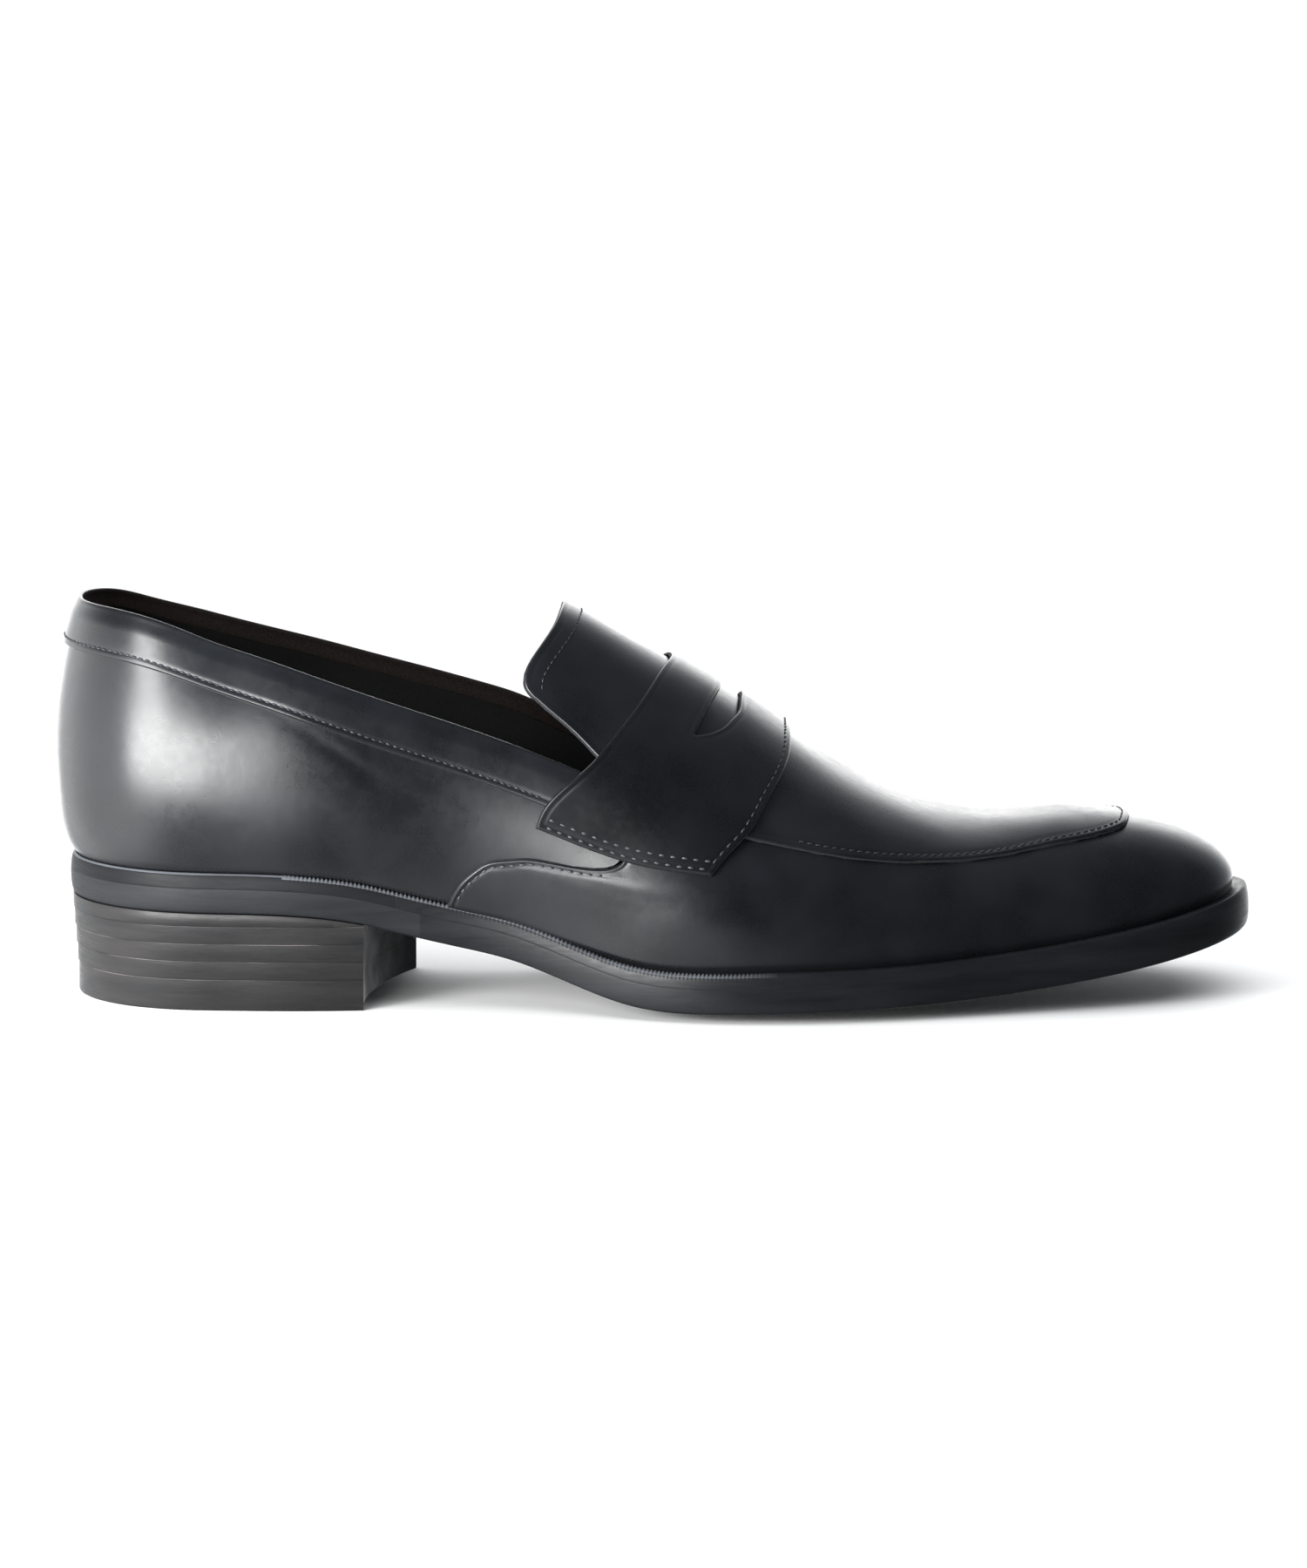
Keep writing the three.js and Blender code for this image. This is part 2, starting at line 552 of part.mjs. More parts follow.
// Vamp: from the lap over the lateral quarter, round the toe, to the lap over the medial quarter. Its
// top edge runs on under the apron. Where it laps the quarter it rides on top of it.
const wingBack = fitX(-6); // the vamp's top edge rises between these, under the strap
const wingFront = fitX(26);
function vampChart(i, j) {
  const back = vampBack(lerp(footShare, seamTop, j));
  const w0 = perimeter(-1, back);
  const w1 = perimeter(1, back);
  const w = lerp(w0, w1, i);
  const { u } = fold(w);
  const x = uToX(u);
  const edge = apronShare(xStation(x)) + lapWidth / profile(w).total;
  const wing = lerp(seamTop, edge, smooth(wingBack, wingFront, x));
  return [w, lerp(footShare, wing, j)];
}
const rideFade = { along: [2, 10], up: [0.015, 0.045] };
function vampRide(w, a) {
  const x = uToX(fold(w).u);
  const past = x - vampBack(a);
  const along = 1 - smooth(lapWidth + rideFade.along[0], lapWidth + rideFade.along[1], past);
  return (upperThickness + gap) * along * (1 - smooth(meetFull + rideFade.up[0], meetFull + rideFade.up[1], a));
}
add('vamp', panel(44, 9, vampChart, (w, a) => vampRide(w, a) - upperThickness, vampRide), calf);

// Apron and tongue in one: i runs round its edge from the lateral corner of the tongue to the medial one,
// j from the edge to the ridge.
function apronChart(i, j) {
  const s = Math.abs(2 * i - 1);
  const u = lerp(1, xToU(tongueBack), s);
  const side = i < 0.5 ? -1 : 1;
  const p = xStation(uToX(u));
  const w = side < 0 ? u : 2 - u;
  const a = lerp(apronShare(p), 1, j);
  const x = uToX(u);
  if (x > tongueBack + tongueBlend) return [w, a];
  const shift = tongueEnd(a) * (1 - (x - tongueBack) / tongueBlend);
  return [perimeter(side, x + shift), a];
}
add('apron', panel(42, 6, apronChart, gap, gap + upperThickness, true), calf);

// Strap: i runs from the lateral end over the ridge to the medial end, j from the front edge to the back.
function strapChart(i, j) {
  const c = 2 * i - 1;
  const a = 1 - Math.abs(c) * (1 - strapLow);
  const x = lerp(strapFront(a), strapBack(a), j);
  return [perimeter(c < 0 ? -1 : 1, x), a];
}
const overApron = 2 * gap + upperThickness;
const strapEndHeight = gap + 0.6; // the strap's ends lie lower than its middle
const strapFlat = 0.33; // share where it has risen to the apron's top
const strapBase = (w, a) => lerp(strapEndHeight, overApron, smooth(strapLow, strapFlat, a));
const strapPanel = panel(24, 6, strapChart, strapBase, (w, a) => strapBase(w, a) + strapThickness);
// Slot of the strap, in plan: a narrow lens over the ridge whose ends sweep back to a point.
const slotHalfSpan = 27 * widthFit;
const slotBackX = fitX(16);
const slotFrontX = fitX(20.8);
const slotSweep = fitLength(6.2);
function slotPlan() {
  const points = [];
  const count = 10;
  const at = (x, sweep, t) => new THREE.Vector2(x - sweep * t * t, middleLine(xStation(x)) + slotHalfSpan * t);
  for (let i = -count; i <= count; i++) points.push(at(slotFrontX, slotSweep + slotFrontX - slotBackX, i / count));
  for (let i = count - 1; i > -count; i--) points.push(at(slotBackX, slotSweep, i / count));
  return points;
}
const cutterBase = 0.5 * instepHeight;
const cutter = new THREE.ExtrudeGeometry(new THREE.Shape(slotPlan()), { depth: instepHeight, bevelEnabled: false });
add('strap', finish(geometryOf(solid(strapPanel).subtract(solid(cutter.translate(0, 0, cutterBase))))), calf);

// Collar band: laps the quarters' top edge from strap to strap round the heel.
const bandFront = fitX(-17);
const bandEnd = xToU(bandFront);
const bandChart = (i, j) => {
  const w = lerp(-bandEnd, bandEnd, i);
  return [w, lerp(bandShare(w), topShare(w), j)];
};
add('collar_band', panel(40, 2, bandChart, gap, gap + upperThickness), calf);

// ---------------------------------------------------------------- inside of the upper
const stiffenerOut = -upperThickness - innerGap;
const liningOut = stiffenerOut - stiffenerThickness - innerGap;
const counterEnd = xToU(fitX(-66));
const counterTop = 0.46; // share of the profile
const counterChart = (i, j) => [lerp(-counterEnd, counterEnd, i), lerp(0.02, counterTop, j)];
add('heel_counter', panel(26, 5, counterChart, stiffenerOut - stiffenerThickness, stiffenerOut), stiffener);
const puffStart = xToU(stationX(80));
const puffChart = (i, j) => [lerp(puffStart, 2 - puffStart, i), lerp(0.03, 0.97, j)];
add('toe_puff', panel(20, 8, puffChart, stiffenerOut - stiffenerThickness, stiffenerOut), stiffener);

const liningJoin = fitX(-12); // X where the quarter lining gives way to the vamp lining
const liningSplit = xToU(liningJoin);
const quarterLiningChart = (i, j) => {
  const w = lerp(-liningSplit + joint, liningSplit - joint, i);
  return [w, lerp(footShare, topShare(w), j)];
};
add('quarter_lining', panel(30, 8, quarterLiningChart, liningOut - liningThickness, liningOut), lining);
const vampLiningChart = (i, j) => [lerp(liningSplit, 2 - liningSplit, i), lerp(footShare, 1, j)];
add('vamp_lining', panel(40, 8, vampLiningChart, liningOut - liningThickness, liningOut, true), lining);

// Tongue lining: under the tongue, from its end to below the strap.
const tongueLiningFront = fitX(28);
function tongueLiningChart(i, j) {
  const c = 2 * i - 1;
  const side = c < 0 ? -1 : 1;
  const x = lerp(tongueLiningFront, tongueBack + 1.5, j);
  const low = apronShare(xStation(x)) + (lapWidth + 3) / profile(perimeter(side, x)).total;
  const a = lerp(1, low, Math.abs(c));
  const shift = x > tongueBack + tongueBlend ? 0 : tongueEnd(a) * (1 - (x - tongueBack) / tongueBlend);
  return [perimeter(side, x + shift), a];
}
add('tongue_lining', panel(10, 8, tongueLiningChart, -liningThickness, 0), lining);

// ---------------------------------------------------------------- threads
// Thread of one seam: a thin strip that lies along a path t -> [w, a], at a height over the surface.
function threadAlong(path, height) {
  const ds = 0.004;
  const measure = (n) => {
    let length = 0;
    for (let k = 0; k < n; k++) length += surface(...path(k / n)).distanceTo(surface(...path((k + 1) / n)));
    return length;
  };
  const rows = Math.max(6, Math.round(measure(60) / threadStep));
  const heightAt = (w, a) => (typeof height === 'function' ? height(w, a) : height);
  const at = (rise) => (i, j) => {
    const [w, a] = path(i);
    const along = surface(...path(Math.min(i + ds, 1))).sub(surface(...path(Math.max(i - ds, 0))));
    const across = surfaceNormal(w, a).cross(along).normalize();
    return lifted(w, a, heightAt(w, a) + rise).addScaledVector(across, threadWidth * (j - 0.5));
  };
  return shell(rows, 1, at(threadHeight), at(0));
}
const seamInset = 1.8; // a seam's distance from the edge of its panel
const onOverlay = overApron;
const sides = { lateral: -1, medial: 1 };

const collarPath = (t) => {
  const end = xToU(stationX(39.5)); // just behind the strap
  const w = lerp(-end, end, t);
  return [w, bandShare(w) + seamInset / profile(w).total];
};
add('collar_thread', threadAlong(collarPath, onOverlay), thread);

const apronThreadStart = xToU(stationX(63)); // just in front of the strap
const apronPath = (t) => {
  const w = lerp(apronThreadStart, 2 - apronThreadStart, t);
  return [w, apronShare(xStation(uToX(fold(w).u))) + seamInset / profile(w).total];
};
add('apron_thread', threadAlong(apronPath, onOverlay), thread);

// Path across the ridge from one side to the other, at X = edge(a) + move.
const crossing = (edge, move, low) => (t) => {
  const a = 1 - Math.abs(2 * t - 1) * (1 - low);
  return [perimeter(t < 0.5 ? -1 : 1, edge(a) + move), a];
};
const tongueInset = 4.6;
add('tongue_thread', threadAlong(crossing((a) => tongueBack + tongueEnd(a), tongueInset, 0.68), onOverlay), thread);

const onStrap = (w, a) => strapBase(w, a) + strapThickness + gap;
add('strap_front_thread', threadAlong(crossing(strapFront, -1.3 * seamInset, 0.39), onStrap), thread);
const strapRows = [0.018, 0.045]; // rise of the two end rows above the strap's lower edge
const rowMargin = 2.4; // the rows stop this far from the strap's front and back edges
const vampRow = { from: 0.05, to: 0.225, forward: 1.4, below: 0.016 };
for (const [name, side] of Object.entries(sides)) {
  strapRows.forEach((rise, k) => {
    const a = strapLow + rise;
    const [back, front] = [strapBack(a) + rowMargin, strapFront(a) - rowMargin];
    const from = side < 0 ? back : front;
    const to = side < 0 ? front : back;
    const path = (t) => [perimeter(side, lerp(from, to, t)), a];
    add(`strap_end_thread_${name}_${k + 1}`, threadAlong(path, onStrap), thread);
  });
  const vampPath = (t) => {
    const a = lerp(vampRow.from, vampRow.to, t);
    return [perimeter(side, vampBack(a) + vampRow.forward), a - vampRow.below];
  };
  add(`vamp_thread_${name}`, threadAlong(vampPath, upperThickness + 2 * gap), thread);
}

// Stand the shoe on the ground, with the origin under the middle of its box.
const box = new THREE.Box3().setFromObject(shoe);
const middle = box.getCenter(new THREE.Vector3());
for (const mesh of shoe.children) mesh.geometry.translate(-middle.x, -middle.y, -box.min.z);

export default shoe;
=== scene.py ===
# Black calf penny loafer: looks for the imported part. Shapes are worked out in millimetres, like the part,
# and turned into metres when a mesh is made.
import math
import bpy
import bmesh
import numpy as np
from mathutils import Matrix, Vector
from mathutils.kdtree import KDTree


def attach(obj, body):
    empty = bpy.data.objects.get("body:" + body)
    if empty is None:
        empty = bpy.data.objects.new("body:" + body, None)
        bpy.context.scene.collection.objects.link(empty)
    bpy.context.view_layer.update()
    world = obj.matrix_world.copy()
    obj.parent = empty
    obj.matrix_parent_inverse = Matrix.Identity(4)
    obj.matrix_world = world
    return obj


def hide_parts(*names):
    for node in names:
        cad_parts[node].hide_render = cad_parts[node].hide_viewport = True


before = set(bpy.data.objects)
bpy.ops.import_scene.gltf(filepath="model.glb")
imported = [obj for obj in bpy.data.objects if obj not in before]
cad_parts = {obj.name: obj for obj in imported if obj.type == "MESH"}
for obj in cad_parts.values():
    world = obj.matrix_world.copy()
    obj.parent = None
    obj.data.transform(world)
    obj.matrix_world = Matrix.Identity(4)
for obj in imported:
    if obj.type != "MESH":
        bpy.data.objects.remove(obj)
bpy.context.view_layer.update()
MM = 0.001
SHIFT = np.array([-0.086, 0.581, 0.0])  # the part's origin is under the middle of its box

# ---------------------------------------------------------------- curves
class Spline:
    """Natural cubic spline through (position, value) pairs, held flat past its ends."""

    def __init__(self, pts):
        x = np.array([p[0] for p in pts], float)
        y = np.array([p[1] for p in pts], float)
        n = len(x)
        h = np.diff(x)
        a = np.zeros((n, n))
        b = np.zeros(n)
        a[0, 0] = a[-1, -1] = 1
        for i in range(1, n - 1):
            a[i, i - 1], a[i, i], a[i, i + 1] = h[i - 1], 2 * (h[i - 1] + h[i]), h[i]
            b[i] = 6 * ((y[i + 1] - y[i]) / h[i] - (y[i] - y[i - 1]) / h[i - 1])
        self.x, self.y, self.m = x, y, np.linalg.solve(a, b)

    def __call__(self, t):
        t = np.clip(np.asarray(t, float), self.x[0], self.x[-1])
        i = np.clip(np.searchsorted(self.x, t) - 1, 0, len(self.x) - 2)
        h = self.x[i + 1] - self.x[i]
        a = (self.x[i + 1] - t) / h
        b = (t - self.x[i]) / h
        bend = ((a**3 - a) * self.m[i] + (b**3 - b) * self.m[i + 1]) * h * h / 6
        return a * self.y[i] + b * self.y[i + 1] + bend


def lerp(a, b, t):
    return (1 - t) * a + t * b


def smooth(lo, hi, t):
    k = np.clip((np.asarray(t, float) - lo) / (hi - lo), 0, 1)
    return k * k * (3 - 2 * k)


LAST_BACK, LAST_LENGTH = -147.0, 294.5
station_x = lambda p: LAST_BACK + LAST_LENGTH * p / 100
x_station = lambda x: (x - LAST_BACK) / LAST_LENGTH * 100
HEEL_X, TOE_X, TIP_X = station_x(12), station_x(85), station_x(100)

lateral_width = Spline([(0, 31), (12, 32), (20, 33), (25, 32.2), (33, 31.2), (38, 33), (43, 36.9), (48, 42.1),
    (53, 46.4), (58, 48.1), (64, 47.4), (70, 44.8), (77, 39.8), (85, 34.2), (92, 29.6), (100, 25)])
medial_width = Spline([(0, 31), (12, 32), (20, 31), (25, 28.8), (33, 25.4), (38, 24.6), (43, 26.7), (48, 31.3),
    (53, 36.6), (58, 41.2), (64, 43.9), (70, 43), (77, 38), (85, 31.4), (92, 26.8), (100, 22)])
middle_line = Spline([(0, 0), (12, 0), (33, 0.5), (50, 1), (64, 1.4), (77, 2), (85, 2.8), (92, 4), (100, 5.6)])
welt_width = Spline([(0, 1.7), (12, 1.7), (25, 1.7), (38, 1.8), (48, 3.2), (58, 4.2), (85, 4.6), (100, 4.8)])
heel_rise = Spline([(0, 1), (12, 0.985), (20, 0.955), (25, 0.87), (29, 0.75), (33, 0.635), (38, 0.485), (43, 0.25),
    (48, 0.055), (53, 0), (58, 0), (64, 0), (100, 0)])
toe_rise = Spline([(0, 0), (48, 0), (53, 0), (58, 0.012), (64, 0.038), (70, 0.085), (77, 0.18), (85, 0.36),
    (92, 0.585), (97, 0.8), (100, 0.95), (102.5, 1.09)])
edge_lift = Spline([(0, 0), (29, 0), (38, 0.6), (45, 1.8), (52, 2.3), (64, 2.3), (77, 1.9), (90, 1.3), (100, 0.8)])
ridge_height = Spline([(12, 120), (23, 117), (31, 111.5), (38, 104), (43, 96.6), (50, 85.2), (56.5, 74.4),
    (62.5, 62.6), (66.5, 55), (69.7, 50.2), (73, 46.5), (77, 43.9), (81, 43.6), (85, 44.8)])
squareness = Spline([(0, 4), (6, 3.3), (12, 2.7), (20, 2.7), (30, 2.75), (36, 2.6), (43, 2.3), (50, 2.15),
    (58, 2.15), (70, 2.4), (79, 2.5), (85, 2.4), (100, 2.2)])
bulge = Spline([(0, 5.2), (12, 4.6), (21, 4.3), (30, 4.5), (38, 4.6), (46, 4.2), (56, 3.4), (67, 2.4), (77, 1.8),
    (85, 1.4), (100, 0.6)])
BULGE_PEAK = 0.3  # share of the height at which the sides bulge most
HEEL_HEIGHT, TOE_SPRING = 25.6, 15.8
HEEL_ROUND, TOE_ROUND = 2.2, 4.2
OUTSOLE_T, WELT_T, UPPER_T, STRAP_T, GAP = 6.5, 3.6, 1.2, 1.5, 0.35
TONGUE_T, LINING_T, COUNTER_T, SOCK_T, INSOLE_T = UPPER_T + 0.35, 0.9, 0.8, 1.0, 2.4
WELT_TOP = OUTSOLE_T + GAP + WELT_T
FEATHER = WELT_TOP + 0.55
FOOT_DROP = 0.5
HEEL_TURN, TOE_TURN = 0.16, 0.8  # w at which the heel's arc ends and the toe's begins


def raw_tread(p):
    return HEEL_HEIGHT * heel_rise(p) + TOE_SPRING * toe_rise(p)


LOWEST = raw_tread(np.linspace(40, 80, 401)).min()


def u_to_x(u):
    heel = HEEL_X - (HEEL_X - LAST_BACK) * np.cos(np.minimum(u, HEEL_TURN) / HEEL_TURN * math.pi / 2)
    k = np.clip((u - TOE_TURN) / (1 - TOE_TURN), 0, 1)
    toe = TOE_X + (TIP_X - TOE_X) * np.sin(k * math.pi / 2)
    mid = lerp(HEEL_X, TOE_X, (u - HEEL_TURN) / (TOE_TURN - HEEL_TURN))
    return np.where(u < HEEL_TURN, heel, np.where(u > TOE_TURN, toe, mid))


def x_to_u(x):
    x = np.asarray(x, float)
    heel = HEEL_TURN * np.arccos(np.clip((HEEL_X - x) / (HEEL_X - LAST_BACK), 0, 1)) / (math.pi / 2)
    toe = TOE_TURN + (1 - TOE_TURN) * np.arcsin(np.clip((x - TOE_X) / (TIP_X - TOE_X), 0, 1)) / (math.pi / 2)
    mid = lerp(HEEL_TURN, TOE_TURN, (x - HEEL_X) / (TOE_X - HEEL_X))
    return np.where(x < HEEL_X, heel, np.where(x > TOE_X, toe, mid))


def fold(w):
    v = np.mod(w, 2.0)
    side = np.where(v <= 1, -1.0, 1.0)
    return side, np.where(v <= 1, v, 2 - v)


def perimeter(side, x):
    u = x_to_u(x)
    return u if side < 0 else 2 - u


def feather_plan(w):
    side, u = fold(w)
    x = u_to_x(u)
    p = x_station(x)
    h = np.clip((HEEL_X - x) / (HEEL_X - LAST_BACK), 0, 1)
    t = np.clip((x - TOE_X) / (TIP_X - TOE_X), 0, 1)
    cap = np.sqrt(1 - h**HEEL_ROUND) * np.sqrt(1 - t**TOE_ROUND)
    half = np.where(side < 0, lateral_width(p), medial_width(p))
    return np.stack([x, middle_line(p) + side * half * cap], -1)


def outline(w, grow):
    """The feather line in plan, moved outwards by grow."""
    w = np.asarray(w, float)
    step = 0.002
    d = feather_plan(w + step) - feather_plan(w - step)
    d /= np.linalg.norm(d, axis=-1, keepdims=True)
    n = np.stack([d[..., 1], -d[..., 0]], -1)
    return feather_plan(w) + n * np.asarray(grow)[..., None]


def station_of(w):
    return x_station(u_to_x(fold(w)[1]))


def layer_z(x, y, h):
    p = x_station(x)
    half = 0.5 * (lateral_width(p) + medial_width(p)) + welt_width(p)
    across = np.minimum(np.abs(y - middle_line(p)) / half, 1)
    return raw_tread(p) - LOWEST + edge_lift(p) * across**2 + h


# ---------------------------------------------------------------- surface of the upper, as a fine table
# w runs round the feather line: 0 at the heel's back, 1 at the toe along the outer side, 2 back along the inner side.
# a runs up the surface from the feather line (0) to the ridge (1), by length.
NW, NA, NK = 2001, 241, 241
RIDGE_STOP, RIDGE_BLEND = 0.98, 0.93


def make_table():
    w = np.linspace(0, 2, NW)
    foot = feather_plan(w)
    p = x_station(foot[:, 0])
    rx = np.clip(foot[:, 0], HEEL_X, TOE_X)
    q = x_station(rx)
    head = np.stack([rx, middle_line(q)], -1)
    out = foot - head
    reach = np.linalg.norm(out, axis=-1)
    out = out / reach[:, None]
    z0 = layer_z(foot[:, 0], foot[:, 1], FEATHER)
    z1 = ridge_height(q)
    n = squareness(p)[:, None]
    psi = np.linspace(0, math.pi / 2, NK)[None]
    c, s = np.cos(psi), np.sin(psi)
    c[:, -1] = 0
    k = (c**n + s**n) ** (-1 / n)
    rise = k * s
    rise[:, -1] = 1
    full = bulge(p)[:, None] * np.sin(math.pi * np.clip(rise, 0, 1) ** (math.log(0.5) / math.log(BULGE_PEAK)))
    full[:, -1] = 0
    r = reach[:, None] * k * c + full
    pts = np.empty((NW, NK, 3))
    pts[..., :2] = head[:, None] + out[:, None] * r[..., None]
    pts[..., 2] = z0[:, None] + (z1 - z0)[:, None] * rise
    seg = np.linalg.norm(np.diff(pts, axis=1), axis=-1)
    length = np.concatenate([np.zeros((NW, 1)), np.cumsum(seg, 1)], 1)
    table = np.empty((NW, NA, 3))
    want = np.linspace(0, 1, NA)
    for i in range(NW):
        for d in range(3):
            table[i, :, d] = np.interp(want * length[i, -1], length[i], pts[i, :, d])
    along = np.roll(table[:-1], -1, 0) - np.roll(table[:-1], 1, 0)
    along = np.concatenate([along, along[:1]], 0)
    up = np.gradient(table, axis=1)
    stop = int(RIDGE_STOP * (NA - 1))
    along[:, stop:] = along[:, stop : stop + 1]
    up[:, stop:] = up[:, stop : stop + 1]
    normal = np.cross(along, up)
    normal /= np.linalg.norm(normal, axis=-1, keepdims=True)
    u = np.clip(fold(w)[1], HEEL_TURN, TOE_TURN)
    li = np.rint(u / 2 * (NW - 1)).astype(int)
    ridge = normal[li, stop] + normal[NW - 1 - li, stop]
    near = smooth(RIDGE_BLEND, 1, want)[None, :, None]
    normal = normal * (1 - near) + ridge[:, None] / np.linalg.norm(ridge, axis=-1)[:, None, None] * near
    normal /= np.linalg.norm(normal, axis=-1, keepdims=True)
    return table, normal, length[:, -1]


TABLE, NORMAL, TOTAL = make_table()


def look_up(grid, w, a):
    fi = np.mod(w, 2.0) / 2 * (NW - 1)
    fj = np.clip(a, 0, 1) * (NA - 1)
    i = np.minimum(fi.astype(int), NW - 2)
    j = np.minimum(fj.astype(int), NA - 2)
    s, t = (fi - i)[..., None], (fj - j)[..., None]
    return ((1 - s) * (1 - t) * grid[i, j] + s * (1 - t) * grid[i + 1, j]
            + (1 - s) * t * grid[i, j + 1] + s * t * grid[i + 1, j + 1])


def total(w):
    return np.interp(np.mod(w, 2.0), np.linspace(0, 2, NW), TOTAL)


RNG = np.random.default_rng(7)
WAVE_COUNT, WAVE_RISE = 14, 0.0011
WAVES = [(RNG.normal(size=3), RNG.uniform(0, 6.28)) for _ in range(WAVE_COUNT)]
WAVE_LENGTHS = np.geomspace(16, 60, WAVE_COUNT)
# Soft creases of the lateral quarter: X and Z of the middle, direction, length, width, depth.
CREASES = [(-78, 66, -38, 13, 1.6, 0.16), (-70, 60, -42, 15, 1.8, 0.18), (-61, 55, -46, 13, 1.6, 0.14),
           (-86, 72, -34, 11, 1.5, 0.10), (-52, 50, -44, 10, 1.7, 0.10), (-4, 22, -30, 16, 2.4, 0.08)]


def relief(p):
    """The last's small unevenness and the leather's soft creases, as a height over the ideal surface."""
    h = np.zeros(p.shape[:-1])
    for (k, phase), length in zip(WAVES, WAVE_LENGTHS):
        k = k / np.linalg.norm(k)
        h += WAVE_RISE * length * np.sin(p @ k * (2 * math.pi / length) + phase)
    for x, z, turn, length, width, depth in CREASES:
        t = math.radians(turn)
        dx, dz = p[..., 0] - x, p[..., 2] - z
        along = dx * math.cos(t) + dz * math.sin(t)
        across = -dx * math.sin(t) + dz * math.cos(t) + 0.012 * along**2
        fade = np.exp(-((along / length) ** 2) - (across / width) ** 2)
        h -= depth * fade * (1 - 0.6 * (across / width) ** 2)
    return h


def lifted(w, a, h):
    """Points of the upper's surface at (w, a), lifted by h along the normal."""
    w, a, h = np.broadcast_arrays(np.asarray(w, float), np.asarray(a, float), np.asarray(h, float))
    p = look_up(TABLE, w, a)
    n = look_up(NORMAL, w, a)
    n = n / np.linalg.norm(n, axis=-1, keepdims=True)
    p[..., 2] -= FOOT_DROP * (1 - smooth(0, 0.03, a))
    return p + n * (h + relief(p) * smooth(0, 0.08, a))[..., None]


def normal_at(w, a):
    n = look_up(NORMAL, np.asarray(w, float), np.asarray(a, float))
    return n / np.linalg.norm(n, axis=-1, keepdims=True)


def share_at_height(w, z):
    """The a at which the surface reaches height z."""
    w = np.asarray(w, float)
    fi = np.mod(w, 2.0) / 2 * (NW - 1)
    i = np.minimum(fi.astype(int), NW - 2)
    s = fi - i
    out = np.empty(w.shape)
    for k in np.ndindex(w.shape):
        col = (1 - s[k]) * TABLE[i[k], :, 2] + s[k] * TABLE[i[k] + 1, :, 2]
        top = int(np.argmax(col >= z[k])) or NA - 1
        out[k] = np.interp(z[k], col[: top + 1], np.linspace(0, top / (NA - 1), top + 1))
    return out


# ---------------------------------------------------------------- seam lines
top_line_lateral = Spline([(0, 101.6), (3, 101.4), (8, 98.6), (13, 93.6), (16, 90.8), (22, 84.8), (28, 78.6),
    (37, 69.6), (43, 63), (50, 55)])
top_line_medial = Spline([(0, 101.6), (3, 99.8), (6.2, 96.6), (11, 92.7), (16, 88.8), (21, 85.2), (25.5, 81.9),
    (30.4, 78.4), (35.2, 74.6), (38, 72), (43, 65), (50, 55.5)])
COLLAR_W = 12.5
TOP_W = np.linspace(-0.62, 0.62, 621)
TOP_P = station_of(TOP_W)
TOP_A = share_at_height(TOP_W, np.where(fold(TOP_W)[0] < 0, top_line_lateral(TOP_P), top_line_medial(TOP_P)))


def top_share(w):
    v = np.mod(np.asarray(w, float) + 1, 2.0) - 1
    return np.interp(v, TOP_W, TOP_A)


def band_share(w):
    return top_share(w) - COLLAR_W / total(w)


apron_share = Spline([(38.5, 0.605), (40, 0.585), (42.5, 0.555), (45, 0.51), (48, 0.465), (51, 0.432), (56, 0.395),
    (60, 0.39), (64, 0.393), (68, 0.403), (74, 0.435), (79, 0.48), (85.5, 0.55), (91, 0.583), (94, 0.597), (97, 0.617),
    (99, 0.645), (100, 0.655)])
TONGUE_BACK = station_x(38.7)
tongue_end = Spline([(0.6, 2.6), (0.612, 1.1), (0.635, 0.1), (0.68, 0.9), (0.74, 3.4), (0.845, 7.4), (0.965, 9.2),
    (1, 9.4)])
TONGUE_BLEND = 34


def tongue_shift(a, medial):
    """How far the tongue's end lies forward of its rearmost point; the medial corner is cut back a little more."""
    return tongue_end(a) + np.where(medial, 3.4 * smooth(0.97, 0.78, a), 0)


STRAP_LOW = 0.272
strap_back = Spline([(0.272, -29.5), (0.32, -28), (0.375, -24.7), (0.495, -15.4), (0.565, -11.2), (0.715, -3.7),
    (0.885, 1.4), (0.96, 2.9), (1, 3.2)])
strap_front = Spline([(0.272, 14.8), (0.325, 18.2), (0.395, 23.2), (0.495, 27.4), (0.605, 30.8), (0.69, 32.6),
    (0.775, 33.4), (0.92, 33.5), (1, 33.5)])
vamp_back = Spline([(0, -52), (0.05, -49.9), (0.09, -47.3), (0.125, -44), (0.15, -40.6), (0.17, -35.6), (0.19, -30.5),
    (0.205, -23.8), (0.225, -15.4), (0.245, -10.5), (0.295, -7), (0.5, -4)])
LAP, FOOT, SEAM_TOP = 8.0, 0.002, 0.3
OVER = 2 * GAP + UPPER_T
ROW = 1.45  # a stitch row's distance from the vamp's edge
COLLAR_ROW, APRON_ROW, STRAP_ROW, TONGUE_ROW = 1.85, 1.9, 1.7, 4.6
GROOVE_WIDTH = 0.42
SHARP = math.radians(50)
DENSE = 0.12


# ---------------------------------------------------------------- meshes
def placed(name, data):
    obj = bpy.data.objects.new(name, data)
    bpy.context.scene.collection.objects.link(obj)
    return obj


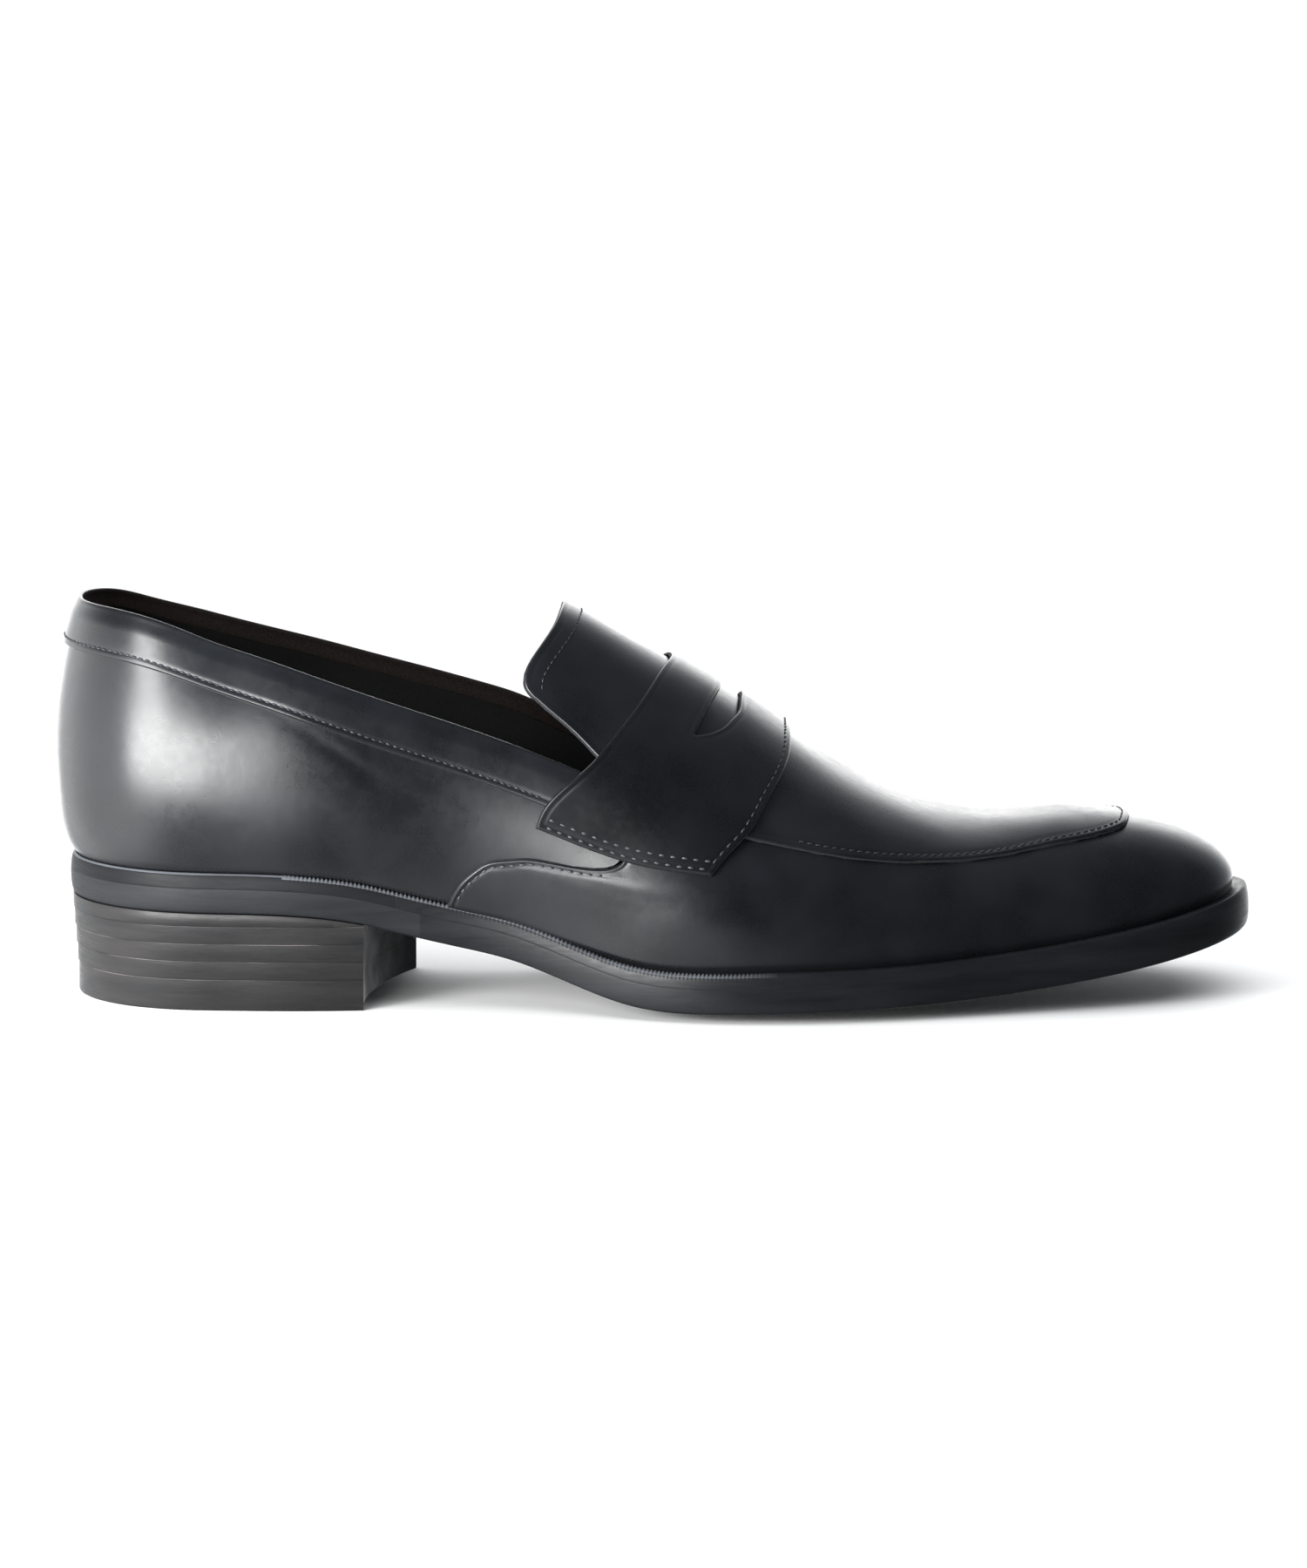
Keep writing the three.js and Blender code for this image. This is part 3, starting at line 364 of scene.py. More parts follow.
def mesh_object(name, verts, faces, materials, face_mats=None, weld=0.002):
    """A piece from points in mm, its faces turned outwards, that rides on the one body."""
    name = name.replace(" ", "_")
    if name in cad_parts:
        name += "_detail"
    mesh = bpy.data.meshes.new(name)
    pts = (np.asarray(verts, float) + SHIFT) * MM
    mesh.from_pydata(pts.tolist(), [], [tuple(int(i) for i in f) for f in faces])
    for m in materials:
        mesh.materials.append(m)
    if face_mats is not None:
        mesh.polygons.foreach_set("material_index", np.asarray(face_mats, np.int32))
    bm = bmesh.new()
    bm.from_mesh(mesh)
    if weld:
        bmesh.ops.remove_doubles(bm, verts=bm.verts, dist=weld * MM)
    bmesh.ops.dissolve_degenerate(bm, edges=bm.edges, dist=weld * MM / 4)
    bmesh.ops.recalc_face_normals(bm, faces=bm.faces)
    if bm.calc_volume(signed=True) < 0:
        bmesh.ops.reverse_faces(bm, faces=bm.faces)
    for f in bm.faces:
        f.smooth = len(f.verts) <= 4
    bm.to_mesh(mesh)
    bm.free()
    mesh.set_sharp_from_angle(angle=SHARP)
    obj = placed(name, mesh)
    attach(obj, "root")
    return obj


def grid_faces(rows, cols, offset=0, flip=False):
    i, j = grid(np.arange(rows - 1), np.arange(cols - 1))
    a = (i * cols + j).ravel() + offset
    quads = np.stack([a, a + cols, a + cols + 1, a + 1], -1)
    return quads[:, ::-1] if flip else quads


def grid(rows, cols):
    return np.meshgrid(rows, cols, indexing="ij")


EDGE_LINES = np.array([0, 0.05, 0.14, 0.28, 0.48, 0.75, 1.1, 1.4, 1.65, 1.9, 2.2, 2.7, 3.4])


def steps(length, pitch, start=True, end=True):
    """Positions from 0 to 1 along a length in mm, closer together near the ends that are real edges."""
    lo = EDGE_LINES / length if start else np.array([0.0])
    hi = 1 - EDGE_LINES[::-1] / length if end else np.array([1.0])
    n = max(2, int((hi[0] - lo[-1]) * length / pitch))
    return np.concatenate([lo[:-1], np.linspace(lo[-1], hi[0], n), hi[1:]])


def dense(line):
    """The line again, with a point about every DENSE mm."""
    seg = np.linalg.norm(np.diff(line, axis=0), axis=-1)
    run = np.concatenate([[0], np.cumsum(seg)])
    at = np.linspace(0, run[-1], max(2, int(run[-1] / DENSE)))
    return np.stack([np.interp(at, run, line[:, d]) for d in range(3)], -1)


def distance_to(points, lines):
    """Each point's distance to the nearest of the lines."""
    pts = np.concatenate([dense(l) for l in lines])
    tree = KDTree(len(pts))
    for i, p in enumerate(pts):
        tree.insert(p, i)
    tree.balance()
    flat = points.reshape(-1, 3)
    return np.array([tree.find(p)[2] for p in flat]).reshape(points.shape[:-1])


def leather(name, blocks, thick, materials, edges="", radius=0.6, seam=None, lines=None, rim=None):
    """A leather panel. blocks: list of (W, A, base height) grids that join where they meet; edges: which sides of
    the blocks are free (i first row, I last row, j first column, J last column), or lines: the free edges themselves;
    seam: (inset, depth, least distance) of the groove its stitches lie in; rim: width of the cut edge's material."""
    if lines is None:
        lines = []
        for w, a, h in blocks:
            b = lifted(w, a, h)
            lines += [line for key, line in zip("iIjJ", (b[0], b[-1], b[:, 0], b[:, -1])) if key in edges]
    verts, faces, mats = [], [], []
    base = 0
    for w, a, h in blocks:
        low = lifted(w, a, h)
        d = distance_to(low, lines)
        top_h = thick * np.sqrt(np.clip(1 - (1 - np.clip(d / radius, 0, 1)) ** 2, 0, 1))
        if seam:
            inset, depth, least = seam
            top_h = top_h - depth * np.exp(-(((d - inset) / GROOVE_WIDTH) ** 2)) * (d >= least)
        top = lifted(w, a, h + top_h)
        rows, cols = w.shape
        count = rows * cols
        verts += [top.reshape(-1, 3), low.reshape(-1, 3)]
        faces += [grid_faces(rows, cols, base), grid_faces(rows, cols, base + count, True)]
        near = (d[:-1, :-1] + d[1:, 1:]).ravel() / 2 < (rim or radius * 0.32)
        mats += [near.astype(int), np.zeros(len(near), int)]
        base += 2 * count
    return mesh_object(name, np.concatenate(verts), np.concatenate(faces), materials, np.concatenate(mats))


def stitches(name, w, a, h, pitch, length, width, height, material):
    """Separate stitches along a path of (w, a) at height h over the surface, each a rounded bead of thread."""
    p = lifted(w, a, h)
    n = normal_at(w, a)
    seg = np.linalg.norm(np.diff(p, axis=0), axis=-1)
    run = np.concatenate([[0], np.cumsum(seg)])
    count = max(1, int(run[-1] / pitch))
    at = (np.arange(count) + 0.5) * run[-1] / count
    pick = lambda grid, s: np.stack([np.interp(s, run, grid[:, d]) for d in range(3)], -1)
    c, up = pick(p, at), pick(n, at)
    t = pick(p, np.minimum(at + 0.3, run[-1])) - pick(p, np.maximum(at - 0.3, 0))
    t /= np.linalg.norm(t, axis=-1, keepdims=True)
    side = np.cross(up, t)
    side /= np.linalg.norm(side, axis=-1, keepdims=True)
    rings, around, sink, scatter = 7, 8, 0.1, 0.03
    verts, faces = [], []
    for k in range(count):
        jitter = RNG.normal(0, scatter, 3)
        base = k * rings * around
        for r in range(rings):
            s = -1 + 2 * r / (rings - 1)
            fat = math.sqrt(max(1 - abs(s) ** 3.0, 0.02))
            lift = height * (0.35 + 0.65 * (1 - s * s)) - sink
            for q in range(around):
                ang = 2 * math.pi * q / around
                verts.append(c[k] + t[k] * (s * length / 2 + jitter[0])
                             + side[k] * (width / 2 * fat * math.cos(ang) + jitter[1])
                             + up[k] * (lift + height / 2 * fat * math.sin(ang)))
        for r in range(rings - 1):
            for q in range(around):
                a0, a1 = base + r * around + q, base + r * around + (q + 1) % around
                faces.append((a0, a1, a1 + around, a0 + around))
        faces.append(tuple(base + q for q in range(around))[::-1])
        faces.append(tuple(base + (rings - 1) * around + q for q in range(around)))
    return mesh_object(name, verts, faces, [material], weld=0)


def sweep(name, sections, materials, face_mats=0):
    """A closed section carried along a path with flat ends: sections is (steps, points, 3)."""
    n, m, _ = sections.shape
    verts = sections.reshape(-1, 3)
    faces, mats = [], []
    chosen = np.broadcast_to(face_mats, (n, m))
    for i in range(n - 1):
        for j in range(m):
            k = (j + 1) % m
            faces.append((i * m + j, (i + 1) * m + j, (i + 1) * m + k, i * m + k))
            mats.append(int(chosen[i, j]))
    faces += [tuple(range(m))[::-1], tuple(range((n - 1) * m, n * m))]
    mats += [0, 0]
    return mesh_object(name, verts, faces, materials, mats, weld=0)


# ---------------------------------------------------------------- materials
# Noise and cell scales are per metre of the object; bump distances are in metres.
SOLE_TONE = (0.006, 0.0066, 0.008)


def material(name):
    m = bpy.data.materials.new(name)
    m.use_nodes = True
    return m, m.node_tree, m.node_tree.nodes.new("ShaderNodeTexCoord").outputs["Object"]


def wire(m, links, values=None):
    """Links node outputs to the material's shader and sets the shader's plain values."""
    shader = m.node_tree.nodes["Principled BSDF"].inputs
    for socket, source in links.items():
        m.node_tree.links.new(source, shader[socket])
    for socket, value in (values or {}).items():
        shader[socket].default_value = value
    return m


def node(tree, kind, inputs=None, **props):
    n = tree.nodes.new(kind)
    for k, v in props.items():
        setattr(n, k, v)
    for k, v in (inputs or {}).items():
        if isinstance(v, bpy.types.NodeSocket):
            tree.links.new(v, n.inputs[k])
        else:
            n.inputs[k].default_value = v
    return n


def ramp(tree, fac, stops):
    n = tree.nodes.new("ShaderNodeValToRGB")
    tree.links.new(fac, n.inputs[0])
    while len(n.color_ramp.elements) < len(stops):
        n.color_ramp.elements.new(0.5)
    for e, (pos, col) in zip(n.color_ramp.elements, stops):
        e.position = pos
        e.color = (*col, 1) if isinstance(col, tuple) else (col, col, col, 1)
    return n.outputs[0]


def noise(tree, coord, scale, detail=4.0, rough=0.55, distortion=0.0):
    return node(tree, "ShaderNodeTexNoise", {"Vector": coord, "Scale": scale, "Detail": detail, "Roughness": rough,
                                             "Distortion": distortion}).outputs["Fac"]


def math_node(tree, op, a, b):
    return node(tree, "ShaderNodeMath", {0: a, 1: b}, operation=op).outputs[0]


def blend(tree, a, b, share):
    """a and b added, b with the given share and a with the rest."""
    return math_node(tree, "ADD", math_node(tree, "MULTIPLY", a, 1 - share), math_node(tree, "MULTIPLY", b, share))


def bump(tree, height, distance, strength=1.0, normal=None):
    inputs = {"Height": height, "Distance": distance, "Strength": strength}
    if normal is not None:
        inputs["Normal"] = normal
    return node(tree, "ShaderNodeBump", inputs).outputs["Normal"]


def scaled(tone, factor, offset=0.0):
    return tuple(min(1.0, c * factor + offset) for c in tone)


def calf_leather(name, tone=(0.0042, 0.0048, 0.0062), rough=(0.25, 0.34)):
    """Smooth aniline calf: fine pebbled grain, softer skin unevenness and wide patches of dye and polish."""
    m, t, coord = material(name)
    cells = node(t, "ShaderNodeTexVoronoi", {"Vector": coord, "Scale": 1250.0, "Randomness": 1.0},
                 feature="DISTANCE_TO_EDGE").outputs["Distance"]
    pebble = ramp(t, cells, [(0.0, 0.0), (0.12, 0.75), (0.4, 1.0)])
    fine = noise(t, coord, 1900.0, 1.0, 0.5)
    skin = noise(t, coord, 420.0, 2.0, 0.5, 0.3)
    patches = noise(t, coord, 45.0, 2.0, 0.5)
    grain = bump(t, blend(t, pebble, fine, 0.55), 0.000007)
    uneven = bump(t, skin, 0.000022, 0.8, grain)
    return wire(m, {"Normal": bump(t, patches, 0.0006, 0.35, uneven),
                    "Base Color": ramp(t, patches, [(0.3, scaled(tone, 0.7)), (0.7, scaled(tone, 1.9))]),
                    "Roughness": ramp(t, blend(t, patches, skin, 0.4), [(0.35, rough[0]), (0.65, rough[1])])},
                {"Specular IOR Level": 0.5, "Coat Weight": 0.12, "Coat Roughness": 0.24, "Sheen Weight": 0.04})


def cut_edge(name, tone, rough, fuzz, specular=0.5):
    """The fibrous cut edge of a hide."""
    m, t, coord = material(name)
    fibre = noise(t, coord, 2600.0, 5.0, 0.7, 0.6)
    return wire(m, {"Base Color": ramp(t, fibre, [(0.4, tone), (0.75, scaled(tone, 2.4, 0.01))]),
                    "Normal": bump(t, fibre, 0.00012, fuzz),
                    "Roughness": ramp(t, fibre, [(0.3, rough), (0.7, min(1.0, rough + 0.15))])},
                {"Specular IOR Level": specular})


def lining_leather(name, tone):
    m, t, coord = material(name)
    pores = noise(t, coord, 1500.0, 4.0, 0.6)
    wide = noise(t, coord, 70.0, 3.0, 0.5)
    return wire(m, {"Base Color": ramp(t, wide, [(0.3, tone), (0.75, scaled(tone, 1.8))]),
                    "Normal": bump(t, pores, 0.00008, 0.7),
                    "Roughness": ramp(t, pores, [(0.3, 0.62), (0.7, 0.82)])},
                {"Sheen Weight": 0.02, "Sheen Roughness": 0.5})


def waxed_edge(name, tone=SOLE_TONE, rough=(0.33, 0.48), streak=1.0, light=None, spread=(0.35, 0.72), specular=0.3):
    """Dyed and waxed leather edge with the long fine streaks that the edge iron leaves."""
    m, t, coord = material(name)
    mapped = node(t, "ShaderNodeMapping", {"Vector": coord, "Scale": (0.12, 0.12, 1.0)}).outputs["Vector"]
    lines = noise(t, mapped, 1500.0, 5.0, 0.65)
    wide = noise(t, mapped, 260.0, 4.0, 0.55)
    speck = noise(t, coord, 900.0, 4.0, 0.6)
    return wire(m, {"Normal": bump(t, blend(t, lines, speck, 0.3), 0.00005 * streak, 0.8),
                    "Base Color": ramp(t, wide, [(spread[0], tone), (spread[1], light or scaled(tone, 2.0))]),
                    "Roughness": ramp(t, lines, [(0.3, rough[0]), (0.7, rough[1])])},
                {"Specular IOR Level": specular})


def welt_crest_with_painted_highlight(name, tone, base, start, end):
    """Waxed edge with a painted highlight on its crest: a lighter tone that shows up to a place along X (m) and has
    faded into the base tone at the next.
    """
    m = waxed_edge(name, tone, (0.4, 0.55))
    t = m.node_tree
    highlight_tone = t.nodes["Principled BSDF"].inputs["Base Color"].links[0].from_socket
    coord = t.nodes["Texture Coordinate"].outputs["Object"]
    x = node(t, "ShaderNodeSeparateXYZ", {"Vector": coord}).outputs["X"]
    fade = node(t, "ShaderNodeMapRange", {0: x, 1: start, 2: end, 3: 1.0, 4: 0.0}, interpolation_type="SMOOTHSTEP")
    both = node(t, "ShaderNodeMix", {0: fade.outputs[0], 6: (*base, 1), 7: highlight_tone}, data_type="RGBA")
    return wire(m, {"Base Color": both.outputs[2]})


def rubber_material(name, tone, specular=0.5):
    m, t, coord = material(name)
    grit = noise(t, coord, 1800.0, 4.0, 0.6)
    wide = noise(t, coord, 120.0, 3.0, 0.5)
    return wire(m, {"Base Color": ramp(t, wide, [(0.3, tone), (0.8, scaled(tone, 1.7))]),
                    "Normal": bump(t, grit, 0.00006, 0.7),
                    "Roughness": ramp(t, wide, [(0.3, 0.5), (0.7, 0.66)])},
                {"Specular IOR Level": specular})


def thread_material(name, tone):
    m, t, coord = material(name)
    ply = node(t, "ShaderNodeTexWave", {"Vector": coord, "Scale": 900.0, "Distortion": 2.0},
               bands_direction="DIAGONAL").outputs["Fac"]
    return wire(m, {"Normal": bump(t, ply, 0.00006, 0.8),
                    "Base Color": ramp(t, ply, [(0.2, tone), (0.8, scaled(tone, 2.0))])}, {"Roughness": 0.42})


def granular(name, dark, light, scale, rough):
    m, t, coord = material(name)
    grain = noise(t, coord, scale, 5.0, 0.65)
    return wire(m, {"Base Color": ramp(t, grain, [(0.35, dark), (0.65, light)]),
                    "Normal": bump(t, grain, 0.0002, 0.7)}, {"Roughness": rough})


CALF = calf_leather("calf")
CALF_EDGE = cut_edge("calf_cut_edge", (0.016, 0.017, 0.019), 0.7, 0.3, 0.25)
ROLLED_EDGE = cut_edge("rolled_edge_dye", (0.009, 0.006, 0.005), 0.75, 0.2, 0.15)
RAW_EDGE = cut_edge("tongue_raw_edge", (0.06, 0.063, 0.068), 0.85, 0.9)
LINING = lining_leather("lining", (0.0028, 0.0028, 0.003))
SOCK = lining_leather("sock", (0.005, 0.005, 0.0055))
SOLE = waxed_edge("sole_edge")
# A lighter tone for the welt's top outer corner, painted highlight of the wheeled bevel.
CREST_PAINTED_HIGHLIGHT = welt_crest_with_painted_highlight("welt_crest_painted_highlight", (0.055, 0.059, 0.066), SOLE_TONE, 0.012, 0.036)
SOLE_DARK = waxed_edge("heel_band_edge", (0.007, 0.0075, 0.009), (0.5, 0.62))
RAND_EDGE = waxed_edge("heel_rand_edge", (0.005, 0.0055, 0.0065), (0.45, 0.56), specular=0.15)
TREAD = rubber_material("tread", (0.016, 0.016, 0.017))
HEEL = waxed_edge("heel_stack_edge", (0.012, 0.0122, 0.013), (0.34, 0.5), 1.4, (0.023, 0.0212, 0.021))
HEEL_LINE = waxed_edge("heel_joint_line", (0.010, 0.0095, 0.0095), (0.35, 0.5), 1.0, (0.12, 0.112, 0.108), (0.5, 0.66))
# The heel breast's near-black tone is painted shade, where the breast faces forward under the arch.
BREAST_PAINTED_SHADE = rubber_material("heel_breast_painted_shade", (0.004, 0.0042, 0.0045), 0.08)
STIFFENER = granular("stiffener", (0.38, 0.34, 0.28), (0.55, 0.5, 0.42), 900.0, 0.9)
# A lighter copy of the same dark thread: its light tone is a painted highlight, for the stitches that show as light
# dots on the strap's ends and along the vamp.
THREAD_PAINTED_HIGHLIGHT = thread_material("thread", (0.036, 0.04, 0.045))
DARK_THREAD = thread_material("dark_thread", (0.016, 0.018, 0.021))

# ---------------------------------------------------------------- upper
def put(piece, slot, *nodes):
    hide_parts(*nodes)
    return piece


PITCH = 2.2
MEET = (0.18, 0.22)  # where the quarter's lap under the vamp's wing gives way to the plain front edge
BACK_GAP = 0.0009
BAND_LAP, LINING_DROP, COUNTER_DROP = 4.6, 3.9, 10.0  # how far under the top line each edge lies
LINING_DEPTH, COUNTER_DEPTH, VAMP_LINING_DEPTH, TONGUE_LINING_DEPTH = 3.8, 2.5, 4.1, 0.85  # under the surface


def quarter_front(a):
    return vamp_back(a) + lerp(LAP, -0.7, smooth(*MEET, a))


def quarter(side):
    back = BACK_GAP if side < 0 else 2 - BACK_GAP
    s = steps(150, PITCH, True, False)
    lower = np.linspace(0, 1, 26)
    upper = steps(45, PITCH, False, False)[1:]
    S, K = grid(s, np.concatenate([lower, 1 + upper]))
    low = lerp(FOOT, SEAM_TOP, np.minimum(K, 1))
    W = lerp(back, perimeter(side, quarter_front(low)), S)
    top = top_share(W) - BAND_LAP / total(W)
    A = np.where(K <= 1, low, lerp(SEAM_TOP, top, np.maximum(K - 1, 0)))
    if side > 0:
        W, A = W[::-1], A[::-1]
    free, label = ("iJ", "outer") if side < 0 else ("IJ", "inner")
    base = np.full(W.shape, -UPPER_T)
    return leather(f"quarter {label} side", [(W, A, base)], UPPER_T, [CALF, CALF_EDGE], free, 0.5)


put(quarter(-1), "calf", "quarter_lateral")
put(quarter(1), "calf", "quarter_medial")


def vamp_piece():
    s = steps(440, PITCH)
    t = np.linspace(0, 1, 56)
    S, T = grid(s, t)
    back = vamp_back(lerp(FOOT, SEAM_TOP, T))
    W = lerp(perimeter(-1, back), perimeter(1, back), S)
    x = u_to_x(fold(W)[1])
    edge = apron_share(x_station(x)) + LAP / total(W)
    wing = lerp(SEAM_TOP, edge, smooth(-6, 26, x))
    A = lerp(FOOT, wing, T)
    past = x - vamp_back(A)
    # The wing rides over the quarter where they lap, and sinks back to the last's surface past the lap.
    ride = (1 - smooth(LAP - 2, LAP + 34, past)) * (1 - smooth(0.15, 0.31, A))
    groove = (ROW, 0.16, 0)
    return leather("vamp", [(W, A, ride - UPPER_T + 0.25)], UPPER_T, [CALF, CALF_EDGE], "iI", 0.55, groove)


put(vamp_piece(), "calf", "vamp")


def apron_piece():
    s = steps(330, 2.0)
    s = np.concatenate([s[s < 0.5 - 1e-6], [0.5], 1 - s[s < 0.5 - 1e-6][::-1]])
    t = steps(40, PITCH, True, False)
    S, T = grid(s, t)
    m = np.abs(2 * S - 1)
    u = lerp(1.0, float(x_to_u(TONGUE_BACK)), m)
    x = u_to_x(u)
    W = np.where(S < 0.5, u, 2 - u)
    A = lerp(apron_share(x_station(x)), 1.0, T)
    A[:, -1] = 1.0
    shift = tongue_shift(A, S > 0.5) * np.clip(1 - (x - TONGUE_BACK) / TONGUE_BLEND, 0, 1)
    ux = x_to_u(x + shift)
    W = np.where(x > TONGUE_BACK + TONGUE_BLEND, W, np.where(S < 0.5, ux, 2 - ux))
    base = np.full(W.shape, GAP * 0.3)
    groove = (APRON_ROW, 0.14, 0)
    return leather("apron and tongue", [(W, A, base)], TONGUE_T, [CALF, CALF_EDGE], "iIj", 0.6, groove)


put(apron_piece(), "calf", "apron")


def strap_base(a):
    return lerp(GAP, OVER - 0.1, smooth(STRAP_LOW - 0.02, 0.45, a))


SLOT_END, SLOT_TIP, STRAP_SPAN = 0.66, 9.8, 150
slot_back = Spline([(SLOT_END, SLOT_TIP), (0.75, 12.2), (0.83, 14.0), (0.93, 15.7), (1, 16.0)])
slot_front = Spline([(SLOT_END, SLOT_TIP), (0.672, 12.0), (0.69, 14.0), (0.71, 15.7), (0.76, 18.0), (0.82, 19.9),
    (0.9, 20.6), (1, 20.9)])


def strap_piece():
    """The strap over the foot, in a front and a back half that join beyond the slot's ends."""
    c = steps(STRAP_SPAN, 1.8)
    tips = 0.5 + 0.5 * (1 - SLOT_END) / (1 - STRAP_LOW) * np.array([-1, 1])
    extra = np.array([-1.2, -0.6, -0.25, -0.1, 0, 0.1, 0.25, 0.5, 1.0, 1.6, 2.4, 3.2]) / STRAP_SPAN
    c = np.unique(np.round(np.concatenate([c, tips[0] + extra, tips[1] - extra, [0.5]]), 7))
    a = 1 - np.abs(2 * c - 1) * (1 - STRAP_LOW)
    a[np.argmin(np.abs(c - 0.5))] = 1.0
    front, back = strap_front(a), strap_back(a)
    line = lerp(lerp(front, back, 0.52), SLOT_TIP, smooth(0.40, SLOT_END, a))
    slot_b = np.where(a > SLOT_END, slot_back(a), line)
    slot_f = np.where(a > SLOT_END, slot_front(a), line)
    slot = a >= SLOT_END - 1e-9
    blocks, lines = [], []
    for x0, x1, outer in ((front, slot_f, 0), (slot_b, back, -1)):
        t = steps(17, 1.6)
        X = lerp(x0[:, None], x1[:, None], t[None])
        A = np.repeat(a[:, None], len(t), 1)
        W = np.where((c < 0.5)[:, None], x_to_u(X), 2 - x_to_u(X))
        H = strap_base(A)
        blocks.append((W, A, H))
        b = lifted(W, A, H)
        lines += [b[0], b[-1], b[:, outer], b[slot, -1 - outer]]
    return leather("strap", blocks, STRAP_T, [CALF, CALF_EDGE], "", 0.65, (STRAP_ROW, 0.12, 0.9), lines, 0.2)


STRAP = put(strap_piece(), "calf", "strap")

BAND_END = float(x_to_u(-17.0))


def band_section(lb):
    """Section of the collar band over its length lb: (height up the surface in mm, height over the surface)."""
    out = lambda m: GAP * 0.4 + UPPER_T - 0.45 * smooth(lb - 5.0, lb - 0.7, m)
    inn = lambda m: -2.1 + 1.5 * smooth(lb - 4.6, lb - 0.9, m)
    r = 0.5
    quarter_turn = [math.pi / 2 * k / 6 for k in range(7)]
    pts = [(r - r * math.cos(ang), out(0) - UPPER_T + UPPER_T * math.sin(ang)) for ang in quarter_turn]
    for m in (0.9, 1.3, 1.6, COLLAR_ROW, 2.1, 2.5, 3.2, 4.5, 6.0, 7.2):
        pts.append((m, out(m) - 0.14 * math.exp(-(((m - COLLAR_ROW) / GROOVE_WIDTH) ** 2))))
    for d in (4.9, 4.2, 3.4, 2.6, 1.9, 1.3):
        pts.append((lb - d, out(lb - d)))
    tip = lb - 0.8
    high, low = float(out(tip)), float(inn(tip))
    R, mid = (high - low) / 2, (high + low) / 2
    for k in range(9):
        ang = math.pi * k / 8
        pts.append((tip + 0.85 * math.sin(ang), mid + R * math.cos(ang)))
    for d in (1.3, 2.0, 2.8, 3.6, 4.4):
        pts.append((lb - d, inn(lb - d)))
    pts += [(lb - 4.6, -1.9), (lb - 4.5, -1.6), (lb - 4.1, -1.3)]
    for d in (3.4, 2.6, 2.0):
        pts.append((lb - d, lerp(inn(lb - d), out(lb - d), 0.45)))
    pts += [(lb - 3.2, out(lb - 3.2) - 1.0), (lb - 4.2, out(lb - 4.2) - UPPER_T), (lb * 0.5, out(0) - UPPER_T)]
    return np.array(pts)


def collar_band():
    s = np.linspace(-BAND_END, BAND_END, 260)
    sections = []
    for w in s:
        lb = float((top_share(w) - band_share(w)) * total(w))
        sec = band_section(lb)
        A = band_share(w) + sec[:, 0] / total(w)
        sections.append(lifted(np.full(len(A), w), A, sec[:, 1]))
    rolled = [1 if 28 <= j <= 38 else 0 for j in range(len(sec))]
    return sweep("collar band", np.array(sections), [CALF, ROLLED_EDGE], rolled)


put(collar_band(), "calf", "collar_band")


# ---------------------------------------------------------------- linings and sock
def lining_piece():
    split = float(x_to_u(-12.0))
    s = steps(300, 3.0, False, False)
    t = np.linspace(0, 1, 40)
    S, T = grid(s, t)
    W = lerp(-split, split, S)
    A = lerp(FOOT, top_share(W) - LINING_DROP / total(W), T)
    H = 0.95 * smooth(0.72, 0.96, T) - LINING_DEPTH
    return leather("quarter lining", [(W, A, H)], LINING_T, [LINING], "J", 0.5)


put(lining_piece(), "lining", "quarter_lining")


def counter_piece():
    end = float(x_to_u(-66.0))
    s = steps(230, 4.0)
    t = steps(50, 4.0)
    S, T = grid(s, t)
    W = lerp(-end, end, S)
    A = lerp(0.02, np.minimum(0.455, top_share(W) - COUNTER_DROP / total(W)), T)
    base = np.full(W.shape, -COUNTER_DEPTH)
    return leather("heel counter", [(W, A, base)], COUNTER_T, [STIFFENER], "iIjJ", 0.4)


put(counter_piece(), "stiffener", "heel_counter")


def vamp_lining_piece():
    split = float(x_to_u(-12.6))
    s = np.linspace(0, 1, 201)
    t = np.linspace(0, 1, 40)
    S, T = grid(s, t)
    u = lerp(1.0, split, np.abs(2 * S - 1))
    W = np.where(S < 0.5, u, 2 - u)
    A = lerp(FOOT, 1.0, T)
    A[:, -1] = 1
    base = np.full(W.shape, -VAMP_LINING_DEPTH)
    return leather("vamp lining", [(W, A, base)], LINING_T, [LINING], "iI", 0.4)


put(vamp_lining_piece(), "lining", "vamp_lining")


def tongue_lining_piece():
    c = np.linspace(0, 1, 61)
    t = steps(60, 2.5, False, True)
    C, T = grid(c, t)
    x = lerp(28.0, TONGUE_BACK + 0.5, T)
    m = 2 * C - 1
    low = apron_share(x_station(x)) + 1.2 / total(x_to_u(x))
    low = lerp(low + 10 / total(x_to_u(x)), low, smooth(-4, -22, x))
    A = lerp(1.0, low, np.abs(m))
    A[C == 0.5] = 1.0
    shift = tongue_shift(A, C > 0.5) * np.clip(1 - (x - TONGUE_BACK) / TONGUE_BLEND, 0, 1)
    ux = x_to_u(x + shift)
    W = np.where(C < 0.5, ux, 2 - ux)
    base = np.full(W.shape, -TONGUE_LINING_DEPTH)
    return leather("tongue lining", [(W, A, base)], LINING_T, [LINING, RAW_EDGE], "iIJ", 0.4)


put(tongue_lining_piece(), "lining", "tongue_lining")


